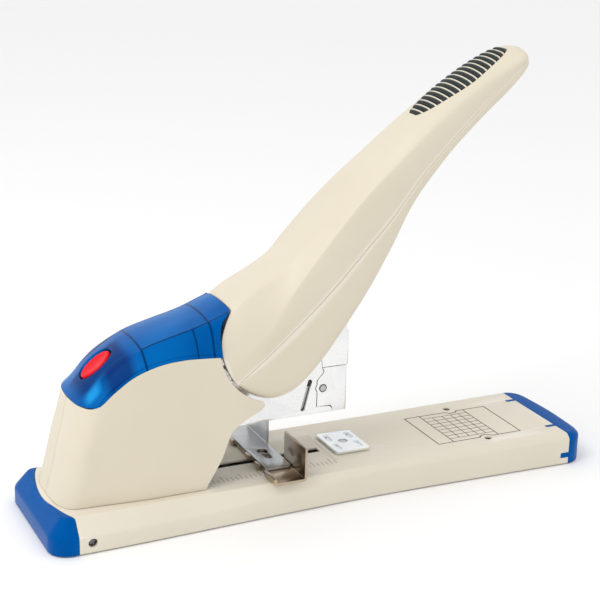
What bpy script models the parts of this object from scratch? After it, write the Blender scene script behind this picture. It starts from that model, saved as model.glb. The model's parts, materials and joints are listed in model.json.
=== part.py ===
"""Heavy-duty front-loading stapler, built as separate pieces.

Frame: +X towards the front end of the base, +Z up, Z = 0 on the table, Y = 0 on the centre plane.
"right" pieces lie at -Y and "left" pieces at +Y. Outlines are written in millimetres, with X from a
datum 150 mm in front of the rear end, and scaled by MM as they become meshes. centre_pieces() then
moves everything so that X = 0 lies halfway along the base.
"""
import math

import bmesh
import bpy
import mathutils
import numpy as np

MM = 0.001

# Base
BASE_BACK = -150.0
BASE_FRONT = 152.5
REAR_CAP_X = -137.0
FRONT_CAP_X = 140.0
BASE_FLOOR = 0.8
BASE_TOP = 17.3
BASE_WALL = 2.0
GAP = 0.3
TOP_HALF = 31.4
SLOT_Y = -2.0
SLOT_HALF = 2.7
SLOT_BACK = -66.0
SLOT_FRONT = 3.9

# Upper works
PIVOT = (-26.5, 90.3)
HUB_R = 33.0
BODY_ARC = (-28.0, 90.2)
BODY_ARC_R = 33.3
COVER_RIDGE_R = 29.3
COVER_SIDE_R = 33.5
HEAD_AXLE = (-120.0, 44.0)
LINK_REACH = 46.0
LINK_ANGLE = math.radians(26.0)
LINK_PIN = (PIVOT[0] + LINK_REACH * math.cos(LINK_ANGLE), PIVOT[1] + LINK_REACH * math.sin(LINK_ANGLE))
DRIVER_PIN = (12.6, 94.6)
LATCH_PIN = (-97.5, 78.5)
SHELL = 2.4
BUTTON_CENTRE = (-115.8, 80.0)
BUTTON_SLOPE = 39.0

# Steel head
HEAD_HALF = 9.6
HEAD_SHEET = 1.2
DRIVER_X = (13.0, 14.3)

SEAM = [(-136, 66.6), (-132.8, 66.2), (-129, 65.9), (-125, 66), (-120.4, 68), (-114.4, 73.2), (-104.2, 80.3),
        (-92, 84.4), (-79.8, 85.6), (-61, 84.8), (-54, 84.6)]


# ---------------------------------------------------------------- helpers
def clear_scene():
    for item in list(bpy.data.objects):
        bpy.data.objects.remove(item, do_unlink=True)


def material(name, colour, roughness, metallic=0.0, alpha=1.0):
    found = bpy.data.materials.get(name)
    if found:
        return found
    made = bpy.data.materials.new(name)
    made.use_nodes = True
    shader = made.node_tree.nodes["Principled BSDF"]
    shader.inputs["Base Color"].default_value = (*colour, 1.0)
    shader.inputs["Roughness"].default_value = roughness
    shader.inputs["Metallic"].default_value = metallic
    shader.inputs["Alpha"].default_value = alpha
    return made


def cream():
    return material("cream_plastic", (0.79, 0.74, 0.64), 0.45)


def cream_paint():
    return material("cream_paint", (0.79, 0.75, 0.66), 0.5)


def blue():
    return material("blue_plastic", (0.0, 0.09, 0.38), 0.35)


def clear_blue():
    return material("clear_blue_plastic", (0.0, 0.12, 0.47), 0.2, 0.0, 0.85)


def red():
    return material("red_plastic", (0.78, 0.01, 0.02), 0.3)


def rubber():
    return material("black_rubber", (0.02, 0.025, 0.025), 0.7)


def nickel():
    return material("nickel_steel", (0.75, 0.75, 0.75), 0.25, 1.0)


def zinc():
    return material("zinc_steel", (0.6, 0.65, 0.7), 0.35, 1.0)


def bronze():
    return material("bronze_steel", (0.42, 0.35, 0.28), 0.3, 1.0)


def dark_steel():
    return material("dark_steel", (0.2, 0.2, 0.21), 0.4, 1.0)


def solid(name, points, faces, look):
    """An object from points in millimetres, its faces turned outwards."""
    mesh = bpy.data.meshes.new(name)
    mesh.from_pydata([tuple(MM * c for c in p) for p in points], [], faces)
    shape = bmesh.new()
    shape.from_mesh(mesh)
    bmesh.ops.recalc_face_normals(shape, faces=shape.faces[:])
    shape.to_mesh(mesh)
    shape.free()
    made = bpy.data.objects.new(name, mesh)
    bpy.context.scene.collection.objects.link(made)
    mesh.materials.append(look)
    return made


def loft(name, rings, look):
    """A closed body through rings that all have the same number of points."""
    size = len(rings[0])
    points = [p for ring in rings for p in ring]
    faces = [tuple(range(size)), tuple(size * (len(rings) - 1) + k for k in range(size))]
    for r in range(len(rings) - 1):
        for k in range(size):
            n = (k + 1) % size
            faces.append((r * size + k, r * size + n, (r + 1) * size + n, (r + 1) * size + k))
    return solid(name, points, faces, look)


def prism(name, outline, span, look, plane="XZ"):
    """An outline extruded over span along the axis that its plane leaves out."""
    place = {
        "XZ": lambda a, b, c: (a, c, b),
        "XY": lambda a, b, c: (a, b, c),
        "YZ": lambda a, b, c: (c, a, b),
    }[plane]
    rings = [[place(a, b, c) for a, b in outline] for c in span]
    return loft(name, rings, look)


def box(name, low, high, look):
    outline = [(low[0], low[1]), (high[0], low[1]), (high[0], high[1]), (low[0], high[1])]
    return prism(name, outline, (low[2], high[2]), look, "XY")


def circle(centre, radius, count=20, start=0.0, stop=360.0):
    """Points on an arc; a full circle leaves its last point out."""
    whole = abs(stop - start) >= 360.0
    steps = count if whole else count - 1
    turns = [math.radians(start + (stop - start) * k / steps) for k in range(count)]
    return [(centre[0] + radius * math.cos(t), centre[1] + radius * math.sin(t)) for t in turns]


def rod(name, centre, radius, span, look, plane="XZ", count=20):
    made = prism(name, circle(centre, radius, count), span, look, plane)
    smooth(made)
    return made


def smooth(item, angle=40.0):
    item.data.shade_smooth()
    item.data.set_sharp_from_angle(angle=math.radians(angle))


def apply_modifiers(item):
    bpy.context.view_layer.update()
    graph = bpy.context.evaluated_depsgraph_get()
    old = item.data
    fresh = bpy.data.meshes.new_from_object(item.evaluated_get(graph))
    item.modifiers.clear()
    item.data = fresh
    bpy.data.meshes.remove(old)


def boolean(item, other, operation):
    """Cuts, joins or intersects item with other, and removes other."""
    other.hide_render = True
    other.display_type = "WIRE"
    change = item.modifiers.new(operation.lower(), "BOOLEAN")
    change.operation = operation
    change.solver = "EXACT"
    change.object = other
    apply_modifiers(item)
    bpy.data.objects.remove(other, do_unlink=True)
    return item


def cut(item, *others):
    for other in others:
        boolean(item, other, "DIFFERENCE")
    return item


def join(item, *others):
    for other in others:
        boolean(item, other, "UNION")
    return item


def keep(item, other):
    return boolean(item, other, "INTERSECT")


def set_origin(item, place):
    """Moves an object's origin to a joint's axis without moving its shape."""
    shift = [MM * c for c in place]
    for vertex in item.data.vertices:
        vertex.co = [a - b for a, b in zip(vertex.co, shift)]
    item.location = shift


def curve(points, count):
    """Evenly spaced points on a smooth curve through the given points."""
    path = np.array(points, float)
    ends = np.vstack([2 * path[0] - path[1], path, 2 * path[-1] - path[-2]])
    fine = []
    for k in range(1, len(ends) - 2):
        a, b, c, d = ends[k - 1:k + 3]
        for t in np.linspace(0, 1, 16, endpoint=False):
            fine.append(0.5 * (2 * b + (c - a) * t + (2 * a - 5 * b + 4 * c - d) * t ** 2
                               + (3 * b - a - 3 * c + d) * t ** 3))
    fine.append(path[-1])
    fine = np.array(fine)
    run = np.concatenate([[0], np.cumsum(np.linalg.norm(np.diff(fine, axis=0), axis=1))])
    even = np.linspace(0, run[-1], count)
    return np.stack([np.interp(even, run, fine[:, k]) for k in range(path.shape[1])], axis=1)


def skin(name, rows, thickness, look, extra=()):
    """A shell whose outer face passes through rows of points, thickened inwards."""
    across = len(rows[0])
    points = [tuple(p) for row in rows for p in row]
    faces = []
    for r in range(len(rows) - 1):
        for k in range(across - 1):
            a = r * across + k
            faces.append((a, a + 1, a + across + 1, a + across))
    faces += list(extra)
    made = solid(name, points, faces, look)
    mesh = made.data
    middle = sum((v.co for v in mesh.vertices), mathutils.Vector()) / len(mesh.vertices)
    if sum(f.area * f.normal.dot(f.center - middle) for f in mesh.polygons) < 0:
        mesh.flip_normals()
    wall = made.modifiers.new("wall", "SOLIDIFY")
    wall.thickness = MM * thickness
    wall.offset = -1.0
    apply_modifiers(made)
    return made


def ease(t):
    t = min(max(t, 0.0), 1.0)
    return t * t * (3 - 2 * t)


def spring(name, start, end, radius, wire, turns, look):
    """A coil from start to end, as one swept tube."""
    start, end = np.array(start, float), np.array(end, float)
    along = end - start
    length = np.linalg.norm(along)
    along = along / length
    side = np.cross(along, [0.0, 1.0, 0.0]) if abs(along[1]) < 0.9 else np.cross(along, [1.0, 0.0, 0.0])
    side = side / np.linalg.norm(side)
    other = np.cross(along, side)
    rings = []
    steps = turns * 10
    for k in range(steps + 1):
        t = 2 * math.pi * turns * k / steps
        out = math.cos(t) * side + math.sin(t) * other
        mid = start + along * length * k / steps + radius * out
        rings.append([tuple(mid + wire * (math.cos(a) * out + math.sin(a) * along))
                      for a in np.arange(5) * 2 * math.pi / 5])
    made = loft(name, rings, look)
    smooth(made, 80)
    return made


# ---------------------------------------------------------------- base
def base_half(x):
    """Half width of the base at its bottom edge."""
    if x < 30:
        return 32.8 + 5.3 * ease((30 - x) / 180)
    return 32.8 + 2.8 * ((x - 30) / 120) ** 1.3


def base_plan():
    """Right-hand half of the base's outline, from the back end to the front end."""
    back = base_half(-140)
    half = [(BASE_BACK, 0.0), (BASE_BACK, 14.0), (BASE_BACK, 28.0)]
    half += [(BASE_BACK + 10 - 10 * math.cos(a), 28.0 + (back - 28.0) * math.sin(a))
             for a in np.radians([18, 36, 54, 72, 90])]
    half += [(x, base_half(x)) for x in np.linspace(-126, 140, 15)]
    front = base_half(140)
    bow = BASE_FRONT - 1.6 - FRONT_CAP_X
    half += [(FRONT_CAP_X + bow * math.sin(a), front - 8 + 8 * math.cos(a)) for a in np.radians([25, 50, 75])]
    half += [(BASE_FRONT - 0.7, 20.0), (BASE_FRONT - 0.2, 10.0), (BASE_FRONT, 0.0)]
    return half


def base_ring(height, inset):
    """A closed ring round the base; height and inset are functions of x."""
    half = np.array(base_plan())
    slope = np.gradient(half, axis=0)
    normal = np.stack([-slope[:, 1], slope[:, 0]], axis=1)
    normal /= np.linalg.norm(normal, axis=1)[:, None]
    normal[0] = (-1, 0)
    normal[-1] = (1, 0)
    moved = []
    for (x, y), n in zip(half, normal):
        moved.append((x - n[0] * inset(x), y - n[1] * inset(x), height(x)))
    right = [(x, -y, z) for x, y, z in moved]
    left = [(x, y, z) for x, y, z in reversed(moved[1:-1])]
    return right + left


def fold_height(x):
    """Height at which the side wall folds into the sloping shoulder."""
    return 8.9 + 5.3 * ease((x + 75) / 105) + 0.9 * ease((x - 60) / 80)


def shoulder(x):
    return base_half(x) - TOP_HALF - 1.2 * ease((x - 40) / 90)


def base_shell(name, look):
    """The whole base as one thin shell, open at the bottom."""
    outer = [
        base_ring(lambda x: BASE_FLOOR, lambda x: 0.0),
        base_ring(fold_height, lambda x: 0.0),
        base_ring(lambda x: BASE_TOP - 0.7, lambda x: shoulder(x) - 0.25),
        base_ring(lambda x: BASE_TOP, lambda x: shoulder(x) + 0.6),
    ]
    inner = [
        base_ring(lambda x: BASE_TOP - BASE_WALL, lambda x: shoulder(x) + 0.6 + BASE_WALL),
        base_ring(lambda x: fold_height(x) - 1.0, lambda x: BASE_WALL),
        base_ring(lambda x: BASE_FLOOR, lambda x: BASE_WALL),
    ]
    rings = outer + inner
    size = len(rings[0])
    points = [p for ring in rings for p in ring]
    faces = []
    for r in range(len(rings)):
        if r == len(outer) - 1:
            continue
        after = (r + 1) % len(rings)
        for k in range(size):
            n = (k + 1) % size
            faces.append((r * size + k, r * size + n, after * size + n, after * size + k))
    faces.append(tuple(3 * size + k for k in range(size)))
    faces.append(tuple(4 * size + k for k in range(size)))
    return solid(name, points, faces, look)


def rear_cap_edge(offset):
    """Where the rear cap meets the painted base, bowed round the foot of the body."""
    edge = REAR_CAP_X + offset
    bow = [(edge - 8.5 * math.cos(math.pi * y / 58) ** 1.4, y) for y in np.linspace(-28.5, 28.5, 15)]
    return [(edge, -60)] + bow + [(edge, 60)]


def front_cap_edge(offset):
    """Where the front cap meets the painted base, with two narrow tongues."""
    edge = [(FRONT_CAP_X + offset, -60)]
    for y in (-20.2, 20.2):
        edge += [(FRONT_CAP_X + offset, y - 1.0 + offset), (FRONT_CAP_X - 6 + offset, y - 1.0 + offset),
                 (FRONT_CAP_X - 6 + offset, y + 1.0 - offset), (FRONT_CAP_X + offset, y + 1.0 - offset)]
    return edge + [(FRONT_CAP_X + offset, 60)]


def base_pieces():
    base = base_shell("base_plate", cream_paint())
    middle = rear_cap_edge(0.15) + list(reversed(front_cap_edge(-0.15)))
    keep(base, prism("middle", middle, (-5, 30), cream_paint(), "XY"))
    low, high = SLOT_Y - SLOT_HALF, SLOT_Y + SLOT_HALF
    slot = circle((SLOT_BACK + SLOT_HALF, SLOT_Y), SLOT_HALF, 9, 90, 270)
    slot += [(SLOT_FRONT, low), (SLOT_FRONT, high)]
    cut(base, prism("slot", slot, (10, 25), dark_steel(), "XY"))
    for y in (-22.2, 22.2):
        cut(base, rod("hole", (96.0, y), 1.6, (10, 25), dark_steel(), "XY", 14))
    cut(base, rod("anvil_hole", (19.5, 0), 2.3, (10, 25), dark_steel(), "XY", 14))
    cut(base, rod("pin_hole", (-130.3, 5.6), 2.3, (-45, 45), dark_steel(), "XZ", 14))
    for x in (-98, -78):
        for y in (-13, 13):
            cut(base, rod("screw_hole", (x, y), 2.0, (10, 25), dark_steel(), "XY", 12))
    ridge = box("ridge", (7.0, -17.3, 17.0), (8.0, 16.5, 17.7), cream_paint())
    join(base, ridge)
    smooth(base, 35)

    rear = base_shell("base_rear_cap", blue())
    outline = [(-170, -60)] + rear_cap_edge(-0.15) + [(-170, 60)]
    keep(rear, prism("rear", outline, (-5, 30), blue(), "XY"))
    smooth(rear, 35)

    front = base_shell("base_front_cap", blue())
    outline = front_cap_edge(0.15) + [(170, 60), (170, -60)]
    keep(front, prism("front", outline, (-5, 30), blue(), "XY"))
    smooth(front, 35)

    under = box("bottom_cover", (-124, -29.2, 2.0), (136, 29.2, 3.4), zinc())
    for x in (-112, 122):
        for side in (-1, 1):
            tag = ("rear" if x < 0 else "front") + ("_right" if side < 0 else "_left")
            foot = rod("foot_" + tag, (x, side * 20), 6.5, (0.0, 1.7), rubber(), "XY", 24)
            smooth(foot)
    smooth(under)
    rod("base_cross_pin", (-130.3, 5.6), 2.0, (-36.4, 36.4), dark_steel(), "XZ", 14)


def anvil_pieces():
    plate = box("anvil_plate", (9.7, -12.9, 17.6), (29.2, 12.9, 19.1), zinc())
    for x, reach in ((13.4, 3.0), (25.6, -3.0)):
        for y in (-1, 1):
            pocket = [(x - 1.0, y * 3.2), (x + 1.0, y * 3.2), (x + 1.0, y * 8.4), (x - 1.0, y * 8.4)]
            cut(plate, prism("pocket", pocket, (18.4, 20), zinc(), "XY"))
    cut(plate, rod("hole", (19.5, 0), 2.3, (17, 20), zinc(), "XY", 14))
    rod("anvil_rivet", (19.5, 0), 1.9, (14.4, 19.0), zinc(), "XY", 14)


# ---------------------------------------------------------------- body and cover
def body_back(z):
    """X of the back of the body at height z."""
    levels = [17, 30, 45, 55, 66, 90]
    places = [-142.4, -139.0, -135.5, -133.0, -130.6, -124.0]
    return float(np.interp(z, levels, places))


def body_half(x, z):
    """Half width of the body's side wall."""
    return 24.2 + 2.5 * ease((x + 137) / 45) - 2.2 * (z - 17) / 70


def back_power(z):
    """Squareness of the body's rounded back: 2 is an ellipse, more is squarer."""
    return 3.0 - 0.6 * ease((z - 40) / 26)


def body_ring(z):
    """Right-hand half of the body's outline at height z, back to front."""
    back = body_back(z)
    wide = body_half(back + 13, z)
    ring = []
    bend = 2.0 / back_power(z)
    for turn in np.radians([-4, 0, 12, 25, 40, 55, 70, 82, 90]):
        ring.append((back + 13 - 13 * abs(math.cos(turn)) ** bend,
                     -wide * math.copysign(abs(math.sin(turn)) ** bend, turn), z))
    ring += [(x, -body_half(x, z), z) for x in np.linspace(back + 24, -30, 8)]
    return ring


def body_profile():
    """Side view of a body shell: foot, front edge, nose, hub arc and cover seam."""
    front = curve([(-68.7, 17.6), (-67.0, 21), (-60.4, 32), (-56.8, 41.2), (-53.8, 46.3), (-47.2, 50.8),
                   (-39.7, 54.4), (-37.4, 56.6)], 14)
    arc = circle(BODY_ARC, BODY_ARC_R, 9, 253.0, 190.0)
    seam = [p for p in curve(SEAM, 22) if p[0] < -61.5]
    seam = [(x, z - 0.15) for x, z in reversed(seam)]
    return [(-150, 17.6)] + [tuple(p) for p in front] + arc + seam + [(-150, seam[-1][1])]


def body_shells():
    levels = [14, 22, 30, 40, 50, 58, 66, 74, 82, 90]
    rows = [body_ring(z) for z in levels]
    shell = skin("body_shell_right", rows, SHELL, cream())
    keep(shell, prism("side", body_profile(), (-60, -0.15), cream()))
    smooth(shell, 35)
    mesh = shell.data.copy()
    mesh.transform(mathutils.Matrix.Diagonal((1, -1, 1, 1)))
    mesh.flip_normals()
    left = bpy.data.objects.new("body_shell_left", mesh)
    bpy.context.scene.collection.objects.link(left)


COVER_SHARES = (0.12, 0.4, 0.7, 1.0)
COVER_TOP = [(-131.6, 62.5), (-130.2, 66), (-127.2, 70.2), (-123, 75.2), (-118.4, 79.9), (-109.3, 86.4),
             (-96.8, 92.4), (-84.2, 96.0), (-71.4, 99.2), (-61.8, 102.3), (-52.6, 106.3)]
COVER_RIDGE = [(-130.4, 62.5), (-129, 65.2), (-126, 69), (-121.7, 74), (-117.4, 78.4), (-109.0, 84.6),
               (-96.8, 90.9), (-84.2, 94.6), (-71.4, 97.8), (-61.8, 100.9), (-52.2, 104.6)]
COVER_EDGE = [(-124, 62.5), (-122.6, 64.5), (-119, 67.5), (-114.4, 71.6), (-109, 75.6), (-103, 79.2),
              (-92, 83.2), (-79.8, 84.4), (-69, 84.2), (-60.0, 83.6)]


def cover_front(share):
    """Front end of the cover from its ridge (share 0) to its lower edge (share 1), clear of the hub."""
    turn = math.radians(150.9 + (190.5 - 150.9) * share)
    reach = COVER_RIDGE_R + (COVER_SIDE_R - COVER_RIDGE_R) * ease(share / 0.2)
    return np.array([PIVOT[0] + reach * math.cos(turn), PIVOT[1] + reach * math.sin(turn)])


def cover_rows(count):
    """Cross sections of the cover's outside, from the right lower edge over the top to the left one."""
    top = curve(COVER_TOP, count)
    ridge = curve(COVER_RIDGE, count)
    edge = curve(COVER_EDGE, count)
    rows = []
    for k, (t, r, e) in enumerate(zip(top, ridge, edge)):
        wide = body_half(e[0], e[1]) + 0.15
        narrow = 15.5 - 3.0 * ease((-112 - r[0]) / 20)
        half = [(t[0], 0.0, t[1]), (t[0] * 0.6 + r[0] * 0.4, narrow * 0.55, t[1] * 0.6 + r[1] * 0.4),
                (r[0], narrow, r[1])]
        for share in COVER_SHARES:
            end = cover_front(share) - (ridge[-1] + (edge[-1] - ridge[-1]) * share)
            spot = r + (e - r) * share + end * ease((k / (count - 1) - 0.7) / 0.3)
            half.append((spot[0], narrow + (wide - narrow) * math.sin(share * math.pi / 2) ** 0.9, spot[1]))
        rows.append([(x, -y, z) for x, y, z in reversed(half[1:])] + half)
    return rows


def hub_sweep():
    """The room the handle's hub turns in, narrower below the cover's top band."""
    rings = []
    for y, radius in ((-60, COVER_SIDE_R), (-19.0, COVER_SIDE_R), (-14.6, COVER_RIDGE_R),
                      (14.6, COVER_RIDGE_R), (19.0, COVER_SIDE_R), (60, COVER_SIDE_R)):
        rings.append([(x, y, z) for x, z in circle(PIVOT, radius, 60)])
    return loft("hub_sweep", rings, clear_blue())


def button_frame(u, v, lift):
    """A point on the button: u along the slope, v across, lift above the cover."""
    slope = math.radians(BUTTON_SLOPE)
    return (BUTTON_CENTRE[0] + u * math.cos(slope) - lift * math.sin(slope), v,
            BUTTON_CENTRE[1] + u * math.sin(slope) + lift * math.cos(slope))


def button_solid(name, levels, look, count=28):
    """Stacked ovals; levels are (half length, half width, lift)."""
    turns = np.arange(count) * 2 * math.pi / count
    rings = [[button_frame(a * math.cos(t), b * math.sin(t), lift) for t in turns] for a, b, lift in levels]
    return loft(name, rings, look)


def cover_and_button():
    cover = skin("top_cover", cover_rows(18), 2.2, clear_blue())
    seam = [(x, z + 0.15) for x, z in curve(SEAM, 22)]
    above = seam + [(-40, seam[-1][1]), (-40, 125), (-150, 125), (-150, seam[0][1])]
    keep(cover, prism("above", above, (-60, 60), clear_blue()))
    cut(cover, hub_sweep())
    dish = [(9.5, 6.7, -8), (9.5, 6.7, 0.2), (11.0, 8.1, 1.3), (11.0, 8.1, 6)]
    cut(cover, button_solid("dish", dish, clear_blue()))
    smooth(cover, 30)
    button = button_solid("release_button", [
        (8.9, 6.1, -6.5), (8.9, 6.1, 0.3), (8.5, 5.7, 0.9), (7.6, 4.9, 0.9), (4.0, 2.6, 0.4)], red())
    smooth(button)
    foot = button_frame(0, 0, -6.9)
    end = button_frame(0, 0, -13.0)
    spring("button_spring", foot, end, 2.2, 0.3, 4, nickel())


# ---------------------------------------------------------------- frame inside the body
def frame_outline():
    hub = circle(PIVOT, 12.5, 13, -60, 130)
    return [(-126, 17.7), (-70, 17.7), (-63, 38), (-51, 54), (-40, 61), (-31, 74)] + hub + [
        (-44, 88), (-50, 80), (-57, 76), (-68, 79.5), (-78, 82), (-94, 82.5), (-101, 81.5), (-112, 70),
        (-122, 56), (-128, 40)]


def frame_pieces():
    for side, tag in ((-1, "right"), (1, "left")):
        inner, outer = sorted((side * 16.6, side * 18.2))
        plate = prism("frame_plate_" + tag, frame_outline(), (inner, outer), nickel())
        foot = sorted((side * 9.6, side * 18.2))
        join(plate, box("flange", (-104, foot[0], 17.6), (-72, foot[1], 19.2), nickel()))
        cut(plate, rod("hole", PIVOT, 4.25, (-30, 30), nickel()))
        cut(plate, rod("hole", HEAD_AXLE, 3.25, (-30, 30), nickel()))
        cut(plate, rod("hole", LATCH_PIN, 1.75, (-30, 30), nickel(), "XZ", 12))
        cut(plate, rod("hole", (-62, 70), 2.5, (-30, 30), nickel(), "XZ", 12))
        for x in (-98, -78):
            cut(plate, rod("hole", (x, side * 13), 2.0, (15, 25), nickel(), "XY", 12))
            end = "rear" if x < -90 else "front"
            screw = rod("frame_screw_%s_%s" % (end, tag), (x, side * 13), 1.7, (13.6, 20.0), zinc(), "XY", 12)
            join(screw, rod("head", (x, side * 13), 3.2, (19.5, 21.3), zinc(), "XY", 16))
        smooth(plate)
    rod("handle_axle", PIVOT, 4.0, (-20.4, 20.4), zinc(), "XZ", 28)
    rod("head_axle", HEAD_AXLE, 3.0, (-19.6, 19.6), zinc(), "XZ", 24)
    rod("latch_axle", LATCH_PIN, 1.5, (-18.9, 18.9), zinc(), "XZ", 12)
    rod("frame_tie", (-62, 70), 2.2, (-18.9, 18.9), zinc(), "XZ", 14)
    spring("handle_spring", (PIVOT[0], -8.0, PIVOT[1]), (PIVOT[0], 8.0, PIVOT[1]), 6.2, 0.7, 7, nickel())
    spring("head_lift_spring", (-88.0, 0.0, 18.4), (-88.0, 0.0, 40.0), 5.0, 0.6, 7, nickel())


# ---------------------------------------------------------------- handle
DRUM_R = 28.2
TIP_FROM = 0.955
WEB_FROM = 0.46
HANDLE_TOP = [(-52.1, 106.1), (-40.8, 114.6), (-30.1, 119.6), (-19.2, 126.6), (-8.4, 136.2), (2.4, 147.5),
              (13.3, 158.2), (24.2, 168.1), (35.2, 177.9), (46.3, 187.2), (57, 195.6), (68, 203.6),
              (79, 210.8),
              (90, 217.2), (99, 221.6), (106, 224.0), (110.5, 224.6), (113.6, 223.2)]
HANDLE_BAND = [(-51.5, 104.6), (-44.5, 109.8), (-38.2, 113.2), (-29, 118.2), (-19.2, 125.0), (-8.4, 134.6),
               (2.4, 145.8), (13.3, 156.4), (24.2, 166.3), (35.2, 176.2), (46.3, 185.4), (57.4, 193.8),
               (68.5, 201.8), (80, 209.0), (91, 215.4), (99, 219.2), (105.5, 221.8), (110, 222.8),
               (113.4, 222.2)]
HANDLE_CREASE = [(-58.8, 83.4), (-50.6, 85.0), (-42.6, 88.6), (-33.5, 96.6), (-24.5, 109.0), (-15.4, 121.2),
                 (-6.3, 131.9), (3.5, 142.6), (17.2, 156.2), (31.8, 168.2), (45, 179.0), (60, 190.6),
                 (78, 203.0), (94, 213.0), (104, 218.4), (110, 221.0), (113.6, 221.3)]
HANDLE_SPLIT = [(-51.3, 68.5), (-33.5, 82.7), (-15.1, 98.5), (3.5, 115.9), (17.9, 130.2), (32.4, 144.3),
                (50, 164.4), (69.1, 182.7), (88.7, 200.5), (98.8, 209.6), (107, 216.6), (114.0, 219.8)]
HANDLE_EDGE = [(-30.5, 57.7), (-19.9, 60.6), (-10.4, 68.4), (-1.9, 77.9), (10.9, 94.4), (20.1, 106.8),
               (27.8, 118.4), (34.5, 129.3), (39.3, 138.6), (44, 146.9), (50.7, 155.9), (58.5, 164.7),
               (67.3, 174), (76.3, 182.3), (87.3, 192), (98.9, 201.6), (106, 208.6), (111, 213.8),
               (114.4, 218.2)]


def tip_round(share):
    """1 along the handle, falling as a quarter ellipse over its last stretch."""
    return math.sqrt(max(1 - max((share - TIP_FROM) / (1.002 - TIP_FROM), 0) ** 2, 0.0))


def handle_half(x, share):
    """Half width of the handle, narrowing towards the grip and rounding in at its tip."""
    return (23.8 - 8.6 * ease((x + 10) / 105)) * (0.6 + 0.4 * tip_round(share))


def handle_flat(share):
    """Half width of the handle's top band."""
    straight = 15.2 - 3.4 * ease(share / 0.3) - 1.7 * ease((share - 0.5) / 0.35)
    return straight * (0.6 + 0.4 * tip_round(share))


def hub_bulge(rear, radius, share):
    """How far a line that starts at rear is pushed out to radius, so that the handle's rear end is round."""
    offset = rear - PIVOT
    return offset * (radius / np.linalg.norm(offset) - 1) * (1 - ease(share / 0.25))


def handle_rows(count):
    """Cross sections of the handle's outside, each from the right split line over the top to the left one."""
    top = curve(HANDLE_TOP, count)
    band = curve(HANDLE_BAND, count)
    crease = curve(HANDLE_CREASE, count)
    split = curve(HANDLE_SPLIT, count)
    rows = []
    for k in range(count):
        share = k / (count - 1)
        wide = handle_half(split[k][0], share)
        flat = handle_flat(share)
        s, c, b, t = split[k], crease[k], band[k], top[k]
        half = []
        for part, y in ((0.0, wide), (0.33, wide + 0.2), (0.66, wide + 0.2), (1.0, wide - 0.6)):
            rear = split[0] + (crease[0] - split[0]) * part
            spot = s + (c - s) * part + hub_bulge(rear, HUB_R, share)
            half.append((spot[0], y, spot[1]))
        for part, spread, radius in ((0.35, 0.7, HUB_R), (0.7, 0.33, HUB_R - 2.4)):
            rear = crease[0] + (band[0] - crease[0]) * part
            spot = c + (b - c) * part + hub_bulge(rear, radius, share)
            half.append((spot[0], flat + (wide - flat) * spread, spot[1]))
        half.append((b[0], flat, b[1]))
        half.append((b[0] + (t[0] - b[0]) * 0.8, flat * 0.5, b[1] + (t[1] - b[1]) * 0.8))
        half.append((t[0], 0.0, t[1]))
        rows.append([(x, -y, z) for x, y, z in half] + [(x, y, z) for x, y, z in reversed(half[:-1])])
    return rows


def lower_edge(count):
    """The handle's lower edge, round under its hub and then along to the tip."""
    arc = circle(PIVOT, HUB_R, 8, 221.0, 264.0)
    return curve(arc[:-1] + HANDLE_EDGE, count)


def lower_solid(name, count, inset, lift):
    """The lower shell's outside, or with an inset its inside, which runs out below up to WEB_FROM."""
    split = curve(HANDLE_SPLIT, count)
    edge = lower_edge(count)
    along = np.gradient(split, axis=0)
    along /= np.linalg.norm(along, axis=1)[:, None]
    rings = []
    for k in range(count if inset == 0 else count - 1):
        share = k / (count - 1)
        wide = handle_half(split[k][0], share) - inset
        down = np.array([along[k][1], -along[k][0]])
        drop = 0.0 if inset == 0 else (-inset if share > WEB_FROM else 8.0)
        s, e = split[k], edge[k]
        half = [(s - down * lift, wide), (s + (e - s) * 0.4, wide), (s + (e - s) * 0.85, wide - 0.9),
                (e + down * drop, wide - 3.2)]
        ring = [(spot[0], -y, spot[1]) for spot, y in half]
        rings.append(ring + [(x, -y, z) for x, y, z in reversed(ring)])
    return loft(name, rings, cream())


def split_prism(name, offset, upper):
    """Everything above or below the handle's split line."""
    middle = curve([(-57, 63.5)] + HANDLE_SPLIT + [(122, 222.6)], 30)
    line = [(x - offset * 0.68, z + offset * 0.73) for x, z in middle]
    far = [(150, 260), (-120, 260), (-120, 40)] if upper else [(150, 260), (150, 20), (-80, 20)]
    return prism(name, line + far, (-60, 60), cream())


def grip_outline(u):
    """Half width of the rubber inlay at u from 0 to 1 along the grip."""
    return 11.0 * math.sin(math.pi * (0.02 + 0.96 * u)) ** 0.5


def grip_solid(name, low, high, grow, ribs, look):
    """The inlay's pointed oval, between two offsets from the handle's top."""
    top = curve(HANDLE_TOP, 121)
    slope = np.gradient(top, axis=0)
    slope /= np.linalg.norm(slope, axis=1)[:, None]
    rings = []
    count = ribs * 4 if ribs else 24
    for k in range(count + 1):
        u = k / count
        at = 79.0 + (114.2 - 79.0) * u
        place = np.array([np.interp(at, np.arange(121), top[:, c]) for c in (0, 1)])
        along = np.array([np.interp(at, np.arange(121), slope[:, c]) for c in (0, 1)])
        out = np.array([-along[1], along[0]])
        place = place + along * grow * (2 * u - 1)
        wide = grip_outline(u) + grow
        rise = high - (0.6 if ribs and k % 4 in (0, 1) else 0.0)
        ring = []
        for share in (-1.0, -0.5, 0.0, 0.5, 1.0):
            drop = 1.4 * share * share * (wide / 9.0) ** 2
            spot = place + out * (rise - drop)
            ring.append((spot[0], share * wide, spot[1]))
        for share in (1.0, -1.0):
            drop = 1.4 * (wide / 9.0) ** 2
            spot = place + out * (low - drop)
            ring.append((spot[0], share * wide, spot[1]))
        rings.append(ring)
    return loft(name, rings, look)


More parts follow.
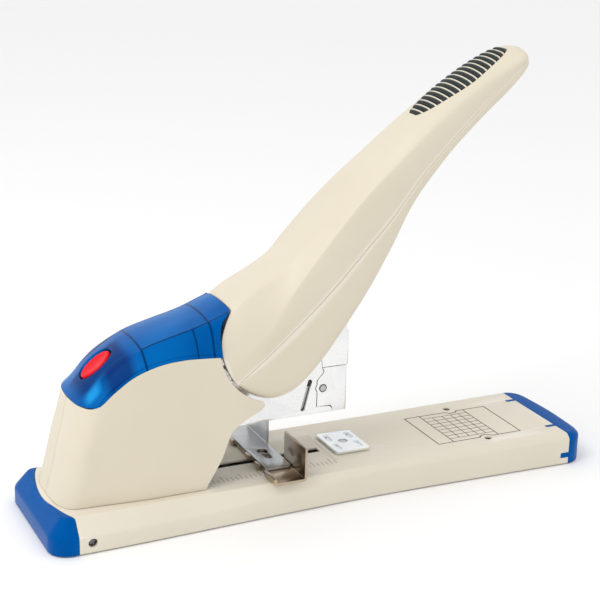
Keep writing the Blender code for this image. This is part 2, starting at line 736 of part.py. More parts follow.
def hub_drum():
    """The wall that closes the upper shell's rear end above the hub, inside the cover."""
    rings = []
    outer = circle(PIVOT, DRUM_R, 13, 148.0, 200.0)
    inner = circle(PIVOT, DRUM_R - SHELL, 13, 148.0, 200.0)
    for k, ((x, z), (u, w)) in enumerate(zip(outer, inner)):
        half = min(14.4 + 0.9 * k, 21.8)
        rings.append([(x, -half, z), (x, half, z), (u, half, w), (u, -half, w)])
    return loft("drum", rings, cream())


def handle_shells():
    count = 27
    rows = handle_rows(count)
    across = len(rows[0])
    half = across // 2
    last = (count - 1) * across
    ends = [(last + k, last + k + 1, last + across - 2 - k, last + across - 1 - k) for k in range(half - 1)]
    ends.append((last + half - 1, last + half, last + half + 1))
    upper = skin("handle_upper_shell", rows, SHELL, cream(), ends)
    keep(upper, split_prism("above", 0.15, True))
    join(upper, hub_drum())
    cut(upper, grip_solid("recess", -1.5, 4.0, 0.3, 0, cream()))
    smooth(upper, 30)

    lower = lower_solid("handle_lower_shell", count, 0.0, 3.0)
    keep(lower, split_prism("below", -0.15, False))
    cut(lower, lower_solid("inside", count, SHELL, 6.0))
    smooth(lower, 30)
    pad = grip_solid("grip_inlay", -1.2, 0.7, 0.0, 17, rubber())
    for item in (upper, lower, pad):
        set_origin(item, (PIVOT[0], 0, PIVOT[1]))


def lever_pieces():
    hub = circle(PIVOT, 11.0, 13, 120, 330)
    outline = hub + [(-5, 97), (17, 101.5), (22, 106), (22, 116), (30, 133.5), (39, 150), (50, 164.5),
                     (54, 170), (48, 172), (30, 158), (8, 137), (-12, 116)]
    lever = prism("handle_lever", outline, (-14.2, -12.6), nickel())
    join(lever, prism("other", outline, (12.6, 14.2), nickel()))
    web = [(8, 137), (30, 158), (48, 172), (49.2, 170.6), (31, 156.6), (9, 135.8)]
    join(lever, prism("web", web, (-13.4, 13.4), nickel()))
    cut(lever, rod("hole", PIVOT, 4.25, (-20, 20), nickel(), "XZ", 24))
    cut(lever, rod("hole", LINK_PIN, 2.25, (-20, 20), nickel(), "XZ", 14))
    smooth(lever)
    set_origin(lever, (PIVOT[0], 0, PIVOT[1]))
    rod("link_pin", LINK_PIN, 2.0, (-15.2, 15.2), zinc(), "XZ", 14)
    link = rod("drive_link", LINK_PIN, 4.2, (-3.6, 3.6), zinc(), "XZ", 20)
    lean = math.degrees(math.atan2(LINK_PIN[1] - DRIVER_PIN[1], LINK_PIN[0] - DRIVER_PIN[0]))
    bar = circle(DRIVER_PIN, 5.6, 9, lean + 90, lean + 270) + circle(LINK_PIN, 3.4, 5, lean - 90, lean + 90)
    join(link, prism("bar", bar, (-3.6, 3.6), zinc()))
    cut(link, rod("hole", LINK_PIN, 2.25, (-20, 20), zinc(), "XZ", 14))
    cut(link, rod("hole", DRIVER_PIN, 4.0, (-20, 20), zinc(), "XZ", 16))
    smooth(link)
    set_origin(link, (LINK_PIN[0], 0, LINK_PIN[1]))


# ---------------------------------------------------------------- head
def head_plates():
    joint = [(-1.5, 44.9), (-1.5, 59.0), (2.0, 63.2), (1.2, 65.5), (0.6, 72)]
    outline = [(-124, 41.3), (7.4, 41.3), (7.2, 43.2), (6.4, 44.3)] + joint + [
        (0.6, 91), (-9, 91), (-14, 78), (-26, 66.5), (-44, 63.5), (-112, 63.5), (-124, 54)]
    for side, tag in ((-1, "right"), (1, "left")):
        span = sorted((side * (HEAD_HALF - HEAD_SHEET), side * HEAD_HALF))
        plate = prism("head_plate_" + tag, outline, span, nickel())
        slant = [(-10.6, 44.4), (-8.4, 43.8), (-4.2, 59.2), (-5.0, 60.4), (-6.2, 60.2)]
        cut(plate, prism("slot", slant, (-12, 12), nickel()))
        cut(plate, rod("hole", HEAD_AXLE, 3.2, (-12, 12), nickel()))
        for spot in ((-40, 59.6), (-80, 59.6)):
            cut(plate, rod("hole", spot, 1.45, (-12, 12), nickel(), "XZ", 12))
        smooth(plate)
    rod("head_rivet_front", (-40, 59.6), 1.2, (-10.4, 10.4), zinc(), "XZ", 12)
    rod("head_rivet_rear", (-80, 59.6), 1.2, (-10.4, 10.4), zinc(), "XZ", 12)


def head_front():
    """The upper wrap round the front of the head: two cheeks with inturned flanges."""
    cheek = [(0.9, 72), (1.5, 66.1), (16.6, 66.1), (16.6, 91), (0.9, 91)]
    front = prism("head_front_guide", cheek, (-9.6, -8.4), nickel())
    join(front, prism("other", cheek, (8.4, 9.6), nickel()))
    bar = box("bar", (15.2, -9.2, 66.1), (16.6, 9.2, 84.0), nickel())
    cut(bar, box("gap", (14, -5.0, 70.5), (18, 5.0, 90), nickel()))
    join(front, bar)
    smooth(front)


def driver_pieces():
    blade = [(-6.4, 58.2), (6.4, 58.2), (6.4, 88.0), (-6.4, 88.0)]
    prism("driver_blade", blade, DRIVER_X, dark_steel(), "YZ")
    for side, tag in ((-1, "right"), (1, "left")):
        span = sorted((side * 4.6, side * 7.9))
        lug = [(5.5, 88.4), (14.9, 88.4), (14.9, 98.6), (8.5, 98.6)]
        block = prism("driver_block_" + tag, lug, span, zinc())
        cut(block, rod("hole", DRIVER_PIN, 1.75, (-12, 12), zinc(), "XZ", 12))
    rod("driver_pin", DRIVER_PIN, 1.5, (-8.2, 8.2), zinc(), "XZ", 12)


def magazine_pieces():
    channel = [(-8.0, 42.0), (8.0, 42.0), (8.0, 56.4), (7.3, 56.4), (7.3, 42.8), (-7.3, 42.8), (-7.3, 56.4),
               (-8.0, 56.4)]
    body = prism("magazine_channel", channel, (-98, 11.6), zinc(), "YZ")
    smooth(body)
    core = [(-5.4, 43.1), (-4.4, 43.1), (-4.4, 55.2), (4.4, 55.2), (4.4, 43.1), (5.4, 43.1), (5.4, 56.2),
            (-5.4, 56.2)]
    prism("magazine_core", core, (-90, 11.2), zinc(), "YZ")
    cheek = [(-1.2, 45.2), (-1.2, 58.9), (2.3, 63.1), (1.6, 65.8), (16.0, 65.8), (16.0, 41.3), (7.7, 41.3),
             (7.5, 43.4), (6.6, 44.6)]
    nose = prism("magazine_nose", cheek, (-9.6, -8.4), nickel())
    join(nose, prism("other", cheek, (8.4, 9.6), nickel()))
    join(nose, box("front", (14.8, -9.2, 41.3), (16.0, 9.2, 65.8), nickel()))
    cut(nose, rod("hole", (2.0, 54.7), 2.2, (-12, 12), nickel(), "XZ", 16))
    smooth(nose)
    rod("nose_rivet_right", (2.0, 54.7), 1.85, (-10.1, -8.35), zinc(), "XZ", 14)
    rod("nose_rivet_left", (2.0, 54.7), 1.85, (8.35, 10.1), zinc(), "XZ", 14)
    staples = [(-6.5, 43.4), (-5.9, 43.4), (-5.9, 56.6), (5.9, 56.6), (5.9, 43.4), (6.5, 43.4), (6.5, 57.3),
               (-6.5, 57.3)]
    prism("staple_strip", staples, (-30, 12.2), nickel(), "YZ")
    pusher = [(-6.9, 43.4), (-5.8, 43.4), (-5.8, 56.6), (5.8, 56.6), (5.8, 43.4), (6.9, 43.4), (6.9, 58.2),
              (-6.9, 58.2)]
    prism("staple_pusher", pusher, (-48, -30.5), red(), "YZ")
    rod("pusher_rod", (0, 49.0), 1.3, (-89.5, 8.0), nickel(), "YZ", 10)
    spring("pusher_spring", (-88.5, 0, 49.0), (-49.0, 0, 49.0), 2.6, 0.4, 11, nickel())


def latch_piece():
    tail = [(-102.2, 77.0), (-105.0, 74.8), (-104.6, 73.6), (-99.8, 74.6)]
    hook = [(-98.6, 70), (-96.6, 57.6), (-93.8, 57.6), (-94.2, 63)]
    outline = circle(LATCH_PIN, 3.0, 7, -10, 130) + tail + hook
    latch = prism("release_latch", outline, (-3.0, 3.0), zinc())
    cut(latch, rod("hole", LATCH_PIN, 1.75, (-12, 12), zinc(), "XZ", 12))
    smooth(latch)
    set_origin(latch, (LATCH_PIN[0], 0, LATCH_PIN[1]))


# ---------------------------------------------------------------- paper stop
def paper_stop():
    sheet = 1.3
    low = BASE_TOP + GAP
    top = low + 17.2
    near = -36.3
    stop_x = -18.6
    centre = (-27.2, -1.6)
    bracket = box("paper_stop_bracket", (-36.4, near, low), (stop_x, 24.0, low + sheet), bronze())
    cut(bracket, box("narrow", (-38, -22.5, low - 1), (-34.4, 26, low + 3), bronze()))
    join(bracket, box("wall", (stop_x - sheet, near, low), (stop_x, -11.0, top), bronze()))
    join(bracket, box("lip", (-36.4, near, low), (-36.4 + sheet, -23.5, low + 3.6), bronze()))
    for y in (-13.4, -1.0, 20.5):
        join(bracket, box("tab", (-36.3, y - 2.4, low), (-34.2, y + 2.4, low + 3.3), bronze()))
        bite = low + sheet + 0.2
        cut(bracket, box("under_tab", (-35.5, y - 3.4, bite), (-30.0, y + 3.4, bite + 1.2), bronze()))
    cut(bracket, rod("hole", centre, 2.2, (10, 25), bronze(), "XY", 12))
    arm_low = low + sheet + GAP
    arm = box("paper_stop_arm", (-34.0, -21.0, arm_low), (-20.2, -near, arm_low + 1.1), zinc())
    join(arm, box("wall", (-20.4, 9.9, arm_low), (-19.2, -near, top), zinc()))
    key = circle((-26.9, 0.6), 2.9, 14, -45, 225) + circle((-26.9, -7.4), 2.0, 8, 180, 360)
    cut(arm, prism("keyhole", key, (10, 30), zinc(), "XY"))
    screw = rod("paper_stop_screw", centre, 1.8, (12.0, 18.9), dark_steel(), "XY", 14)
    join(screw, rod("head", centre, 3.4, (11.0, 12.3), dark_steel(), "XY", 16))
    smooth(screw)
    shoe = box("paper_stop_shoe", (-33.0, -6.4, 12.6), (-21.4, 3.2, 14.9), zinc())
    cut(shoe, rod("hole", centre, 2.2, (10, 25), zinc(), "XY", 12))


def centre_pieces():
    """Moves every piece so that the origin lies halfway along the base."""
    for item in bpy.data.objects:
        item.location.x -= MM * (BASE_BACK + BASE_FRONT) / 2


def main():
    clear_scene()
    base_pieces()
    anvil_pieces()
    body_shells()
    cover_and_button()
    frame_pieces()
    handle_shells()
    lever_pieces()
    head_plates()
    head_front()
    driver_pieces()
    magazine_pieces()
    latch_piece()
    paper_stop()
    centre_pieces()


main()
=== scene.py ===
"""Looks for the heavy-duty front-loading stapler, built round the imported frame.

Outlines are in millimetres, with X from a datum 150 mm in front of the base's rear end, and are scaled
by MM as they become meshes. place() then moves each piece to the frame's own origin, halfway along the base.
"right" pieces lie at -Y and "left" pieces at +Y.
"""
import json
import math

import bmesh
import bpy
import mathutils
import numpy as np
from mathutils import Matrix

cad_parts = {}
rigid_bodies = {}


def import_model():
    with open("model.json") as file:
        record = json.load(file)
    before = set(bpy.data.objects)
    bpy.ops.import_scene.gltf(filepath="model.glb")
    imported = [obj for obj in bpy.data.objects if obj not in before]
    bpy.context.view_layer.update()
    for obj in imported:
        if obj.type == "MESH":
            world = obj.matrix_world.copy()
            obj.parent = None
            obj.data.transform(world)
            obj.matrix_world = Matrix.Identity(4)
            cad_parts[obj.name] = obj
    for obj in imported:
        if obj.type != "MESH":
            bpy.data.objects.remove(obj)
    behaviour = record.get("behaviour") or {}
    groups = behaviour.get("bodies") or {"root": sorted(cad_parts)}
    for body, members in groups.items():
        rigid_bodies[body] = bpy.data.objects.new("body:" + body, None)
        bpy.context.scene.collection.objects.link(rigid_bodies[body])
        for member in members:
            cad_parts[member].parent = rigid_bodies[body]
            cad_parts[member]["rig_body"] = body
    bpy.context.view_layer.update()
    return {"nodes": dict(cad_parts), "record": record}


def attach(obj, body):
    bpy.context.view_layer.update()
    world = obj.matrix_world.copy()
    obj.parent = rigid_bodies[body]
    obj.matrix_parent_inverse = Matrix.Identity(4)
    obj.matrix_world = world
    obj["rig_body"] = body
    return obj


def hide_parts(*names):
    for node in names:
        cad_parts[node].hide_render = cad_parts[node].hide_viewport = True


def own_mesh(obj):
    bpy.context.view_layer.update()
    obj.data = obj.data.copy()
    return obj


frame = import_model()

MM = 0.001
BODY_OF = {node: item["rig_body"] for node, item in frame["nodes"].items()}
SLOT_OF = {row["node"]: row["material_slot"] for row in frame["record"]["subparts"]}
SIDES = ((-1, "right"), (1, "left"))
scene = bpy.context.scene

# Base
BASE_BACK = -150.0
BASE_FRONT = 152.5
REAR_CAP_X = -137.0
FRONT_CAP_X = 140.0
BASE_FLOOR = 0.8
BASE_TOP = 17.3
BASE_WALL = 2.0
DECK = 1.0
TOP_HALF = 31.4
SLOT_BACK = -66.0
SLOT_FRONT = 3.9
SLOT_Y = -2.0
SLOT_HALF = 2.7
SHIFT = MM * (BASE_BACK + BASE_FRONT) / 2
PARTING = 0.12
CROSS_PIN = (-130.3, 5.6)
FRAME_SCREW_X = (-98, -78)
FRAME_SCREW_Y = 13
TABLE_HOLES = (96.0, 22.2)
ANVIL_CENTRE = (19.5, 0)
PRINT_DEPTH = 0.2
PRINT_RISE = 0.03

# Upper works
PIVOT = (-26.5, 90.3)
HUB_R = 33.0
BODY_ARC = (-28.0, 90.2)
BODY_ARC_R = 33.3
COVER_RIDGE_R = 29.3
COVER_SIDE_R = 33.5
DRUM_R = 28.2
SHELL = 2.4
BACK_ROUND = 13.0
TIP_FROM = 0.955
BODY_FOOT = 17.6
SEAM = [(-131, 66.05), (-129, 65.9), (-125, 66), (-120.4, 68), (-114.4, 73.2), (-104.2, 80.3), (-92, 84.4),
        (-79.8, 85.6), (-69, 85.2), (-60, 84.5)]
BUTTON_CENTRE = (-115.8, 80.0)
BUTTON_SLOPE = math.radians(39.0)
BUTTON_SPRING = (-13.0, -6.9)
GRIP_RIBS = 17
HANDLE_ROWS = 46
HEAD_HALF = 9.6
HEAD_SHEET = 1.2
HEAD_AXLE = (-120.0, 44.0)
DRIVER_PIN = (12.6, 94.6)
LATCH_PIN = (-97.5, 78.5)
LINK_REACH = 46.0
LINK_ANGLE = math.radians(26.0)
LINK_PIN = (PIVOT[0] + LINK_REACH * math.cos(LINK_ANGLE), PIVOT[1] + LINK_REACH * math.sin(LINK_ANGLE))
NOSE_RIVET = (2.0, 54.7)
HEAD_RIVET_Z = 59.6
STAPLE_BACK = -29.9
STAPLE_PITCH = 0.7
STAPLES = 60


# ---------------------------------------------------------------- shaping helpers
def ease(t):
    """0 to 1 with a soft start and end, held outside that range."""
    t = min(max(t, 0.0), 1.0)
    return t * t * (3 - 2 * t)


def solid(name, points, faces):
    """A mesh object from points in millimetres, its faces turned outwards."""
    mesh = bpy.data.meshes.new(name)
    mesh.from_pydata([tuple(MM * c for c in p) for p in points], [], faces)
    shape = bmesh.new()
    shape.from_mesh(mesh)
    bmesh.ops.recalc_face_normals(shape, faces=shape.faces[:])
    shape.to_mesh(mesh)
    shape.free()
    made = bpy.data.objects.new(name, mesh)
    scene.collection.objects.link(made)
    return made


def grid_faces(rows, across, closed=False):
    """Quads of a grid of points; a closed one joins its last column to its first."""
    faces = []
    for r in range(rows - 1):
        for k in range(across if closed else across - 1):
            n = (k + 1) % across
            faces.append((r * across + k, r * across + n, (r + 1) * across + n, (r + 1) * across + k))
    return faces


def flat(rows):
    """The points of all the rows, one after the other."""
    return [point for row in rows for point in row]


def both_sides(half):
    """A row across the object from half of it, which runs from its edge to the centre at y = 0."""
    return [(x, -y, z) for x, y, z in half] + [(x, y, z) for x, y, z in reversed(half[:-1])]


def closed_end(rows, across):
    """Faces that close a grid's last row by joining its two halves."""
    last = (rows - 1) * across
    half = across // 2
    faces = [(last + k, last + k + 1, last + across - 2 - k, last + across - 1 - k) for k in range(half - 1)]
    return faces + [(last + half - 1, last + half, last + half + 1)]


def loft(name, rings):
    """A closed body through rings that all have the same number of points."""
    size = len(rings[0])
    ends = [tuple(range(size)), tuple(size * (len(rings) - 1) + k for k in range(size))]
    return solid(name, flat(rings), grid_faces(len(rings), size, True) + ends)


IN_PLANE = {
    "XZ": lambda a, b, c: (a, c, b),
    "XY": lambda a, b, c: (a, b, c),
    "YZ": lambda a, b, c: (c, a, b),
}


def prism(name, outline, span, plane="XZ"):
    """An outline extruded over span along the axis that its plane leaves out."""
    return loft(name, [[IN_PLANE[plane](a, b, c) for a, b in outline] for c in span])


def box(name, low, high):
    """A block between two opposite corners."""
    outline = [(low[0], low[1]), (high[0], low[1]), (high[0], high[1]), (low[0], high[1])]
    return prism(name, outline, (low[2], high[2]), "XY")


def circle(centre, radius, count=48, start=0.0, stop=360.0):
    """Points on an arc; a full circle leaves its last point out."""
    whole = abs(stop - start) >= 360.0
    steps = count if whole else count - 1
    turns = [math.radians(start + (stop - start) * k / steps) for k in range(count)]
    return [(centre[0] + radius * math.cos(t), centre[1] + radius * math.sin(t)) for t in turns]


def rod(name, centre, radius, span, plane="XZ", count=48):
    """A plain cylinder across a plane, mostly a cutter for a hole."""
    return prism(name, circle(centre, radius, count), span, plane)


def rounded(outline, radii, steps=5, most=0.45):
    """The closed outline with arcs for corners, most being the largest share of a side that one may take.

    radii is one radius for every corner or a tuple with one for each.
    """
    if not isinstance(radii, tuple):
        radii = (radii,) * len(outline)
    result = []
    for k, (spot, radius) in enumerate(zip(outline, radii)):
        here = np.array(spot, float)
        before = np.array(outline[k - 1], float) - here
        after = np.array(outline[(k + 1) % len(outline)], float) - here
        reach = min(radius, most * np.linalg.norm(before), most * np.linalg.norm(after))
        start = here + before / np.linalg.norm(before) * reach
        end = here + after / np.linalg.norm(after) * reach
        for t in np.linspace(0, 1, steps):
            result.append(tuple((1 - t) ** 2 * start + 2 * t * (1 - t) * here + t * t * end))
    return result


def soft_section(outline, radii):
    """The section of a bent sheet, each of its corners with a radius of its own."""
    return rounded(outline, radii, 6, 0.49)


def turned(name, profile, centre, plane="XY", count=48):
    """A round solid about a line through centre; profile is (radius, place along the line)."""
    return loft(name, [[IN_PLANE[plane](a, b, along) for a, b in circle(centre, radius, count)]
                       for radius, along in profile])


def curve(points, count):
    """Evenly spaced points on a smooth curve through the given points."""
    path = np.array(points, float)
    ends = np.vstack([2 * path[0] - path[1], path, 2 * path[-1] - path[-2]])
    fine = []
    for k in range(1, len(ends) - 2):
        a, b, c, d = ends[k - 1:k + 3]
        for t in np.linspace(0, 1, 24, endpoint=False):
            fine.append(0.5 * (2 * b + (c - a) * t + (2 * a - 5 * b + 4 * c - d) * t ** 2
                               + (3 * b - a - 3 * c + d) * t ** 3))
    fine.append(path[-1])
    fine = np.array(fine)
    run = np.concatenate([[0], np.cumsum(np.linalg.norm(np.diff(fine, axis=0), axis=1))])
    even = np.linspace(0, run[-1], count)
    return np.stack([np.interp(even, run, fine[:, k]) for k in range(path.shape[1])], axis=1)


def apply_modifiers(item):
    """Turns what the modifiers make of an object into its own mesh."""
    bpy.context.view_layer.update()
    graph = bpy.context.evaluated_depsgraph_get()
    fresh = bpy.data.meshes.new_from_object(item.evaluated_get(graph))
    item.modifiers.clear()
    item.data = fresh


def boolean(item, other, operation):
    """Cuts, joins or intersects item with other, and removes other."""
    change = item.modifiers.new(operation.lower(), "BOOLEAN")
    change.operation = operation
    change.solver = "EXACT"
    change.object = other
    apply_modifiers(item)
    bpy.data.objects.remove(other, do_unlink=True)
    return item


def cut(item, *others):
    """Takes the others away from item."""
    for other in others:
        boolean(item, other, "DIFFERENCE")
    return item


def join(item, *others):
    """Adds the others to item as one body."""
    for other in others:
        boolean(item, other, "UNION")
    return item


def keep(item, other):
    """Leaves only the part of item that is inside other."""
    return boolean(item, other, "INTERSECT")


def smooth(item, angle=38):
    """Shades smooth except across edges sharper than the angle."""
    item.data.shade_smooth()
    item.data.set_sharp_from_angle(angle=math.radians(angle))
    return item


def tidy(item, width=0.0, segments=2, angle=32.0):
    """Rounds sharp edges by a width in millimetres and shades the rest smooth."""
    if width:
        change = item.modifiers.new("edges", "BEVEL")
        change.width = MM * width
        change.segments = segments
        change.limit_method = "ANGLE"
        change.angle_limit = math.radians(angle)
        change.miter_outer = "MITER_ARC"
        apply_modifiers(item)
    return smooth(item)


def crease_rows(item, across, sharp):
    """Creases for a subdivision surface: sharp is {column: crease} along a grid's length."""
    mesh = item.data
    weights = mesh.attributes.new("crease_edge", "FLOAT", "EDGE")
    for edge in mesh.edges:
        a, b = edge.vertices
        if a % across == b % across:
            weights.data[edge.index].value = sharp.get(a % across, 0.0)


def subdivide(item, levels=2):
    """Smooths a coarse grid, its corners staying where they are."""
    change = item.modifiers.new("smooth", "SUBSURF")
    change.levels = change.render_levels = levels
    change.boundary_smooth = "PRESERVE_CORNERS"
    apply_modifiers(item)


def thicken(item, thickness):
    """Turns an open surface into a shell, its wall growing inwards."""
    mesh = item.data
    middle = sum((v.co for v in mesh.vertices), mathutils.Vector()) / len(mesh.vertices)
    if sum(f.area * f.normal.dot(f.center - middle) for f in mesh.polygons) < 0:
        mesh.flip_normals()
    wall = item.modifiers.new("wall", "SOLIDIFY")
    wall.thickness = MM * thickness
    wall.offset = -1.0
    apply_modifiers(item)


def tube(name, path, radius, sides=12):
    """A round wire along a path of points in millimetres, with closed ends."""
    path = np.array(path, float)
    along = np.gradient(path, axis=0)
    along /= np.linalg.norm(along, axis=1)[:, None]
    side = np.cross(along[0], [0.3, 0.9, 0.2])
    rings = []
    for spot, way in zip(path, along):
        side = side - way * side.dot(way)
        side /= np.linalg.norm(side)
        other = np.cross(way, side)
        rings.append([tuple(spot + radius * (math.cos(t) * side + math.sin(t) * other))
                      for t in np.arange(sides) * 2 * math.pi / sides])
    return loft(name, rings)


def coil(name, start, end, radius, wire, turns):
    """A compression spring with one closed, flat turn at each end."""
    start, end = np.array(start, float), np.array(end, float)
    length = np.linalg.norm(end - start)
    along = (end - start) / length
    side = np.cross(along, [0.0, 1.0, 0.0] if abs(along[1]) < 0.9 else [1.0, 0.0, 0.0])
    side /= np.linalg.norm(side)
    other = np.cross(along, side)
    path = []
    steps = turns * 22
    for k in range(steps + 1):
        turn = turns * k / steps
        rise = ease((turn - 0.6) / 0.8) * 0.5 + (turn - 1) + ease((turn - turns + 1.4) / 0.8) * 0.5
        share = min(max((rise + 0.5 * ease((0.6 - turn) / 0.6)) / (turns - 1), 0.0), 1.0)
        out = math.cos(2 * math.pi * turn) * side + math.sin(2 * math.pi * turn) * other
        path.append(start + along * (wire + (length - 2 * wire) * share) + radius * out)
    return tube(name, path, wire, 10)


def place(item, node, look, body=None):
    """Gives a piece its material and its body. It stands for a CAD node, or is an extra with none."""
    item.data.materials.clear()
    item.data.materials.append(look)
    item.location.x -= SHIFT
    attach(item, body or BODY_OF[node])
    if node:
        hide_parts(node)
    return item


def gather(name, items):
    """Several shapes as the loose bodies of one object."""
    points, faces = [], []
    for item in items:
        first = len(points)
        points += [tuple(c / MM for c in v.co) for v in item.data.vertices]
        faces += [tuple(first + k for k in f.vertices) for f in item.data.polygons]
        bpy.data.objects.remove(item, do_unlink=True)
    return solid(name, points, faces)


# ---------------------------------------------------------------- materials
BLUE_SHINE = (0.08, 0.4, 1.0, 1.0)
# Painted shade on the clear cover: lines where its cross walls show through, and their dark colour.
RIB_SHADE_LINES = ((-98.0, 0.4, "all"), (-72.0, 0.25, "flank"), (-63.8, 0.4, "all"))
RIB_SHADE_COLOUR = (0.0, 0.05, 0.2)


class Look:
    """A procedural material being put together round its Principled shader."""

    def __init__(self, name, slot, roughness, metallic=0.0, **constants):
        self.material = bpy.data.materials.new(name)
        self.material.use_nodes = True
        self.material["slot"] = slot
        self.tree = self.material.node_tree
        self.shader = self.tree.nodes["Principled BSDF"]
        self.where = self.node("ShaderNodeTexCoord").outputs["Object"]
        self.shader.inputs["Roughness"].default_value = roughness
        self.shader.inputs["Metallic"].default_value = metallic
        for socket, value in constants.items():
            self.shader.inputs[socket.replace("_", " ")].default_value = value

    def node(self, kind, **settings):
        """A new node, with its settings."""
        made = self.tree.nodes.new(kind)
        for key, value in settings.items():
            setattr(made, key, value)
        return made

    def link(self, source, target):
        self.tree.links.new(source, target)

    def noise(self, scale, detail=3.0, stretch=(1, 1, 1), rough=0.5):
        """Soft noise from 0 to 1; scale is in features per metre."""
        mapping = self.node("ShaderNodeMapping")
        mapping.inputs["Scale"].default_value = stretch
        self.link(self.where, mapping.inputs["Vector"])
        made = self.node("ShaderNodeTexNoise")
        made.inputs["Scale"].default_value = scale
        made.inputs["Detail"].default_value = detail
        made.inputs["Roughness"].default_value = rough
        self.link(mapping.outputs["Vector"], made.inputs["Vector"])
        return made.outputs["Fac"]

    def ramp(self, source, low, high, start=0.0, end=1.0):
        """Maps source from low..high onto start..end, held at both ends."""
        made = self.node("ShaderNodeMapRange")
        for key, value in (("From Min", low), ("From Max", high), ("To Min", start), ("To Max", end)):
            made.inputs[key].default_value = value
        self.link(source, made.inputs["Value"])
        return made.outputs["Result"]

    def blend(self, amount, first, second):
        """A colour that goes from first to second; either may be a colour or a socket."""
        made = self.node("ShaderNodeMix", data_type="RGBA")
        self.link(amount, made.inputs[0])
        for value, socket in ((first, made.inputs[6]), (second, made.inputs[7])):
            if isinstance(value, tuple):
                socket.default_value = (*value, 1.0)
            else:
                self.link(value, socket)
        return made.outputs[2]

    def colour(self, source):
        self.link(source, self.shader.inputs["Base Color"])

    def roughness(self, source, low, high):
        self.link(self.ramp(source, 0.25, 0.75, low, high), self.shader.inputs["Roughness"])

    def bump(self, *layers):
        """Relief from (source, depth in millimetres) pairs, one on the other."""
        normal = None
        for source, depth in layers:
            made = self.node("ShaderNodeBump")
            made.inputs["Strength"].default_value = 1.0
            made.inputs["Distance"].default_value = MM * depth
            self.link(source, made.inputs["Height"])
            if normal:
                self.link(normal, made.inputs["Normal"])
            normal = made.outputs["Normal"]
        self.link(normal, self.shader.inputs["Normal"])

    def compute(self, operation, first, second=None):
        """A sum of one socket with another socket or a number."""
        made = self.node("ShaderNodeMath", operation=operation)
        self.link(first, made.inputs[0])
        if isinstance(second, float):
            made.inputs[1].default_value = second
        elif second:
            self.link(second, made.inputs[1])
        return made.outputs[0]

    def size(self, source):
        return self.compute("ABSOLUTE", source)

    def product(self, first, second):
        return self.compute("MULTIPLY", first, second)

    def stripe(self, source, centre, half, soft=0.25):
        """1 where source is within half of centre, in millimetres, falling to 0 over soft."""
        away = self.size(self.compute("SUBTRACT", source, centre * MM))
        return self.ramp(away, half * MM, (half + soft) * MM, 1.0, 0.0)

    def edges(self, low, high):
        """1 on sharp convex edges and 0 elsewhere; the plastics pale them for rubbed wear and a painted
        highlight, the clear cover darkens them as painted shade.
        """
        return self.ramp(self.node("ShaderNodeNewGeometry").outputs["Pointiness"], low, high)


def moulded(slot, light, dark, edge, grain, roughness, name=None, **constants):
    """Satin moulded plastic: slow colour drift, fine spark-eroded grain, paler rubbed edges that also carry a
    painted highlight.
    """
    made = Look(name or slot, slot, roughness, **constants)
    drift = made.ramp(made.noise(22, 2.0), 0.35, 0.65)
    speck = made.noise(900, 2.0)
    tone = made.blend(drift, light, dark)
    # Pointiness pales the convex edges: rubbed wear together with a painted highlight.
    made.colour(made.blend(made.edges(0.53, 0.62), tone, edge))
    made.roughness(speck, roughness - 0.05, roughness + 0.07)
    made.bump((made.noise(2600, 3.0), grain), (made.noise(120, 2.0), grain * 1.6))
    return made.material


def brushed(slot, light, dark, roughness, way, depth=0.004, tint=None, name=None):
    """Rolled or plated steel: streaks along way, a slow tint, small scuffs."""
    made = Look(name or slot, slot, roughness, 1.0)
    streaks = made.noise(700, 4.0, way, 0.6)
    cloud = made.ramp(made.noise(60, 3.0), 0.3, 0.7)
    tone = made.blend(cloud, light, dark)
    if tint:
        tone = made.blend(made.ramp(made.noise(35, 2.0), 0.45, 0.7), tone, tint)
    made.colour(tone)
    made.roughness(streaks, roughness - 0.05, roughness + 0.08)
    made.bump((streaks, depth), (made.noise(240, 3.0), depth * 0.8))
    return made.material


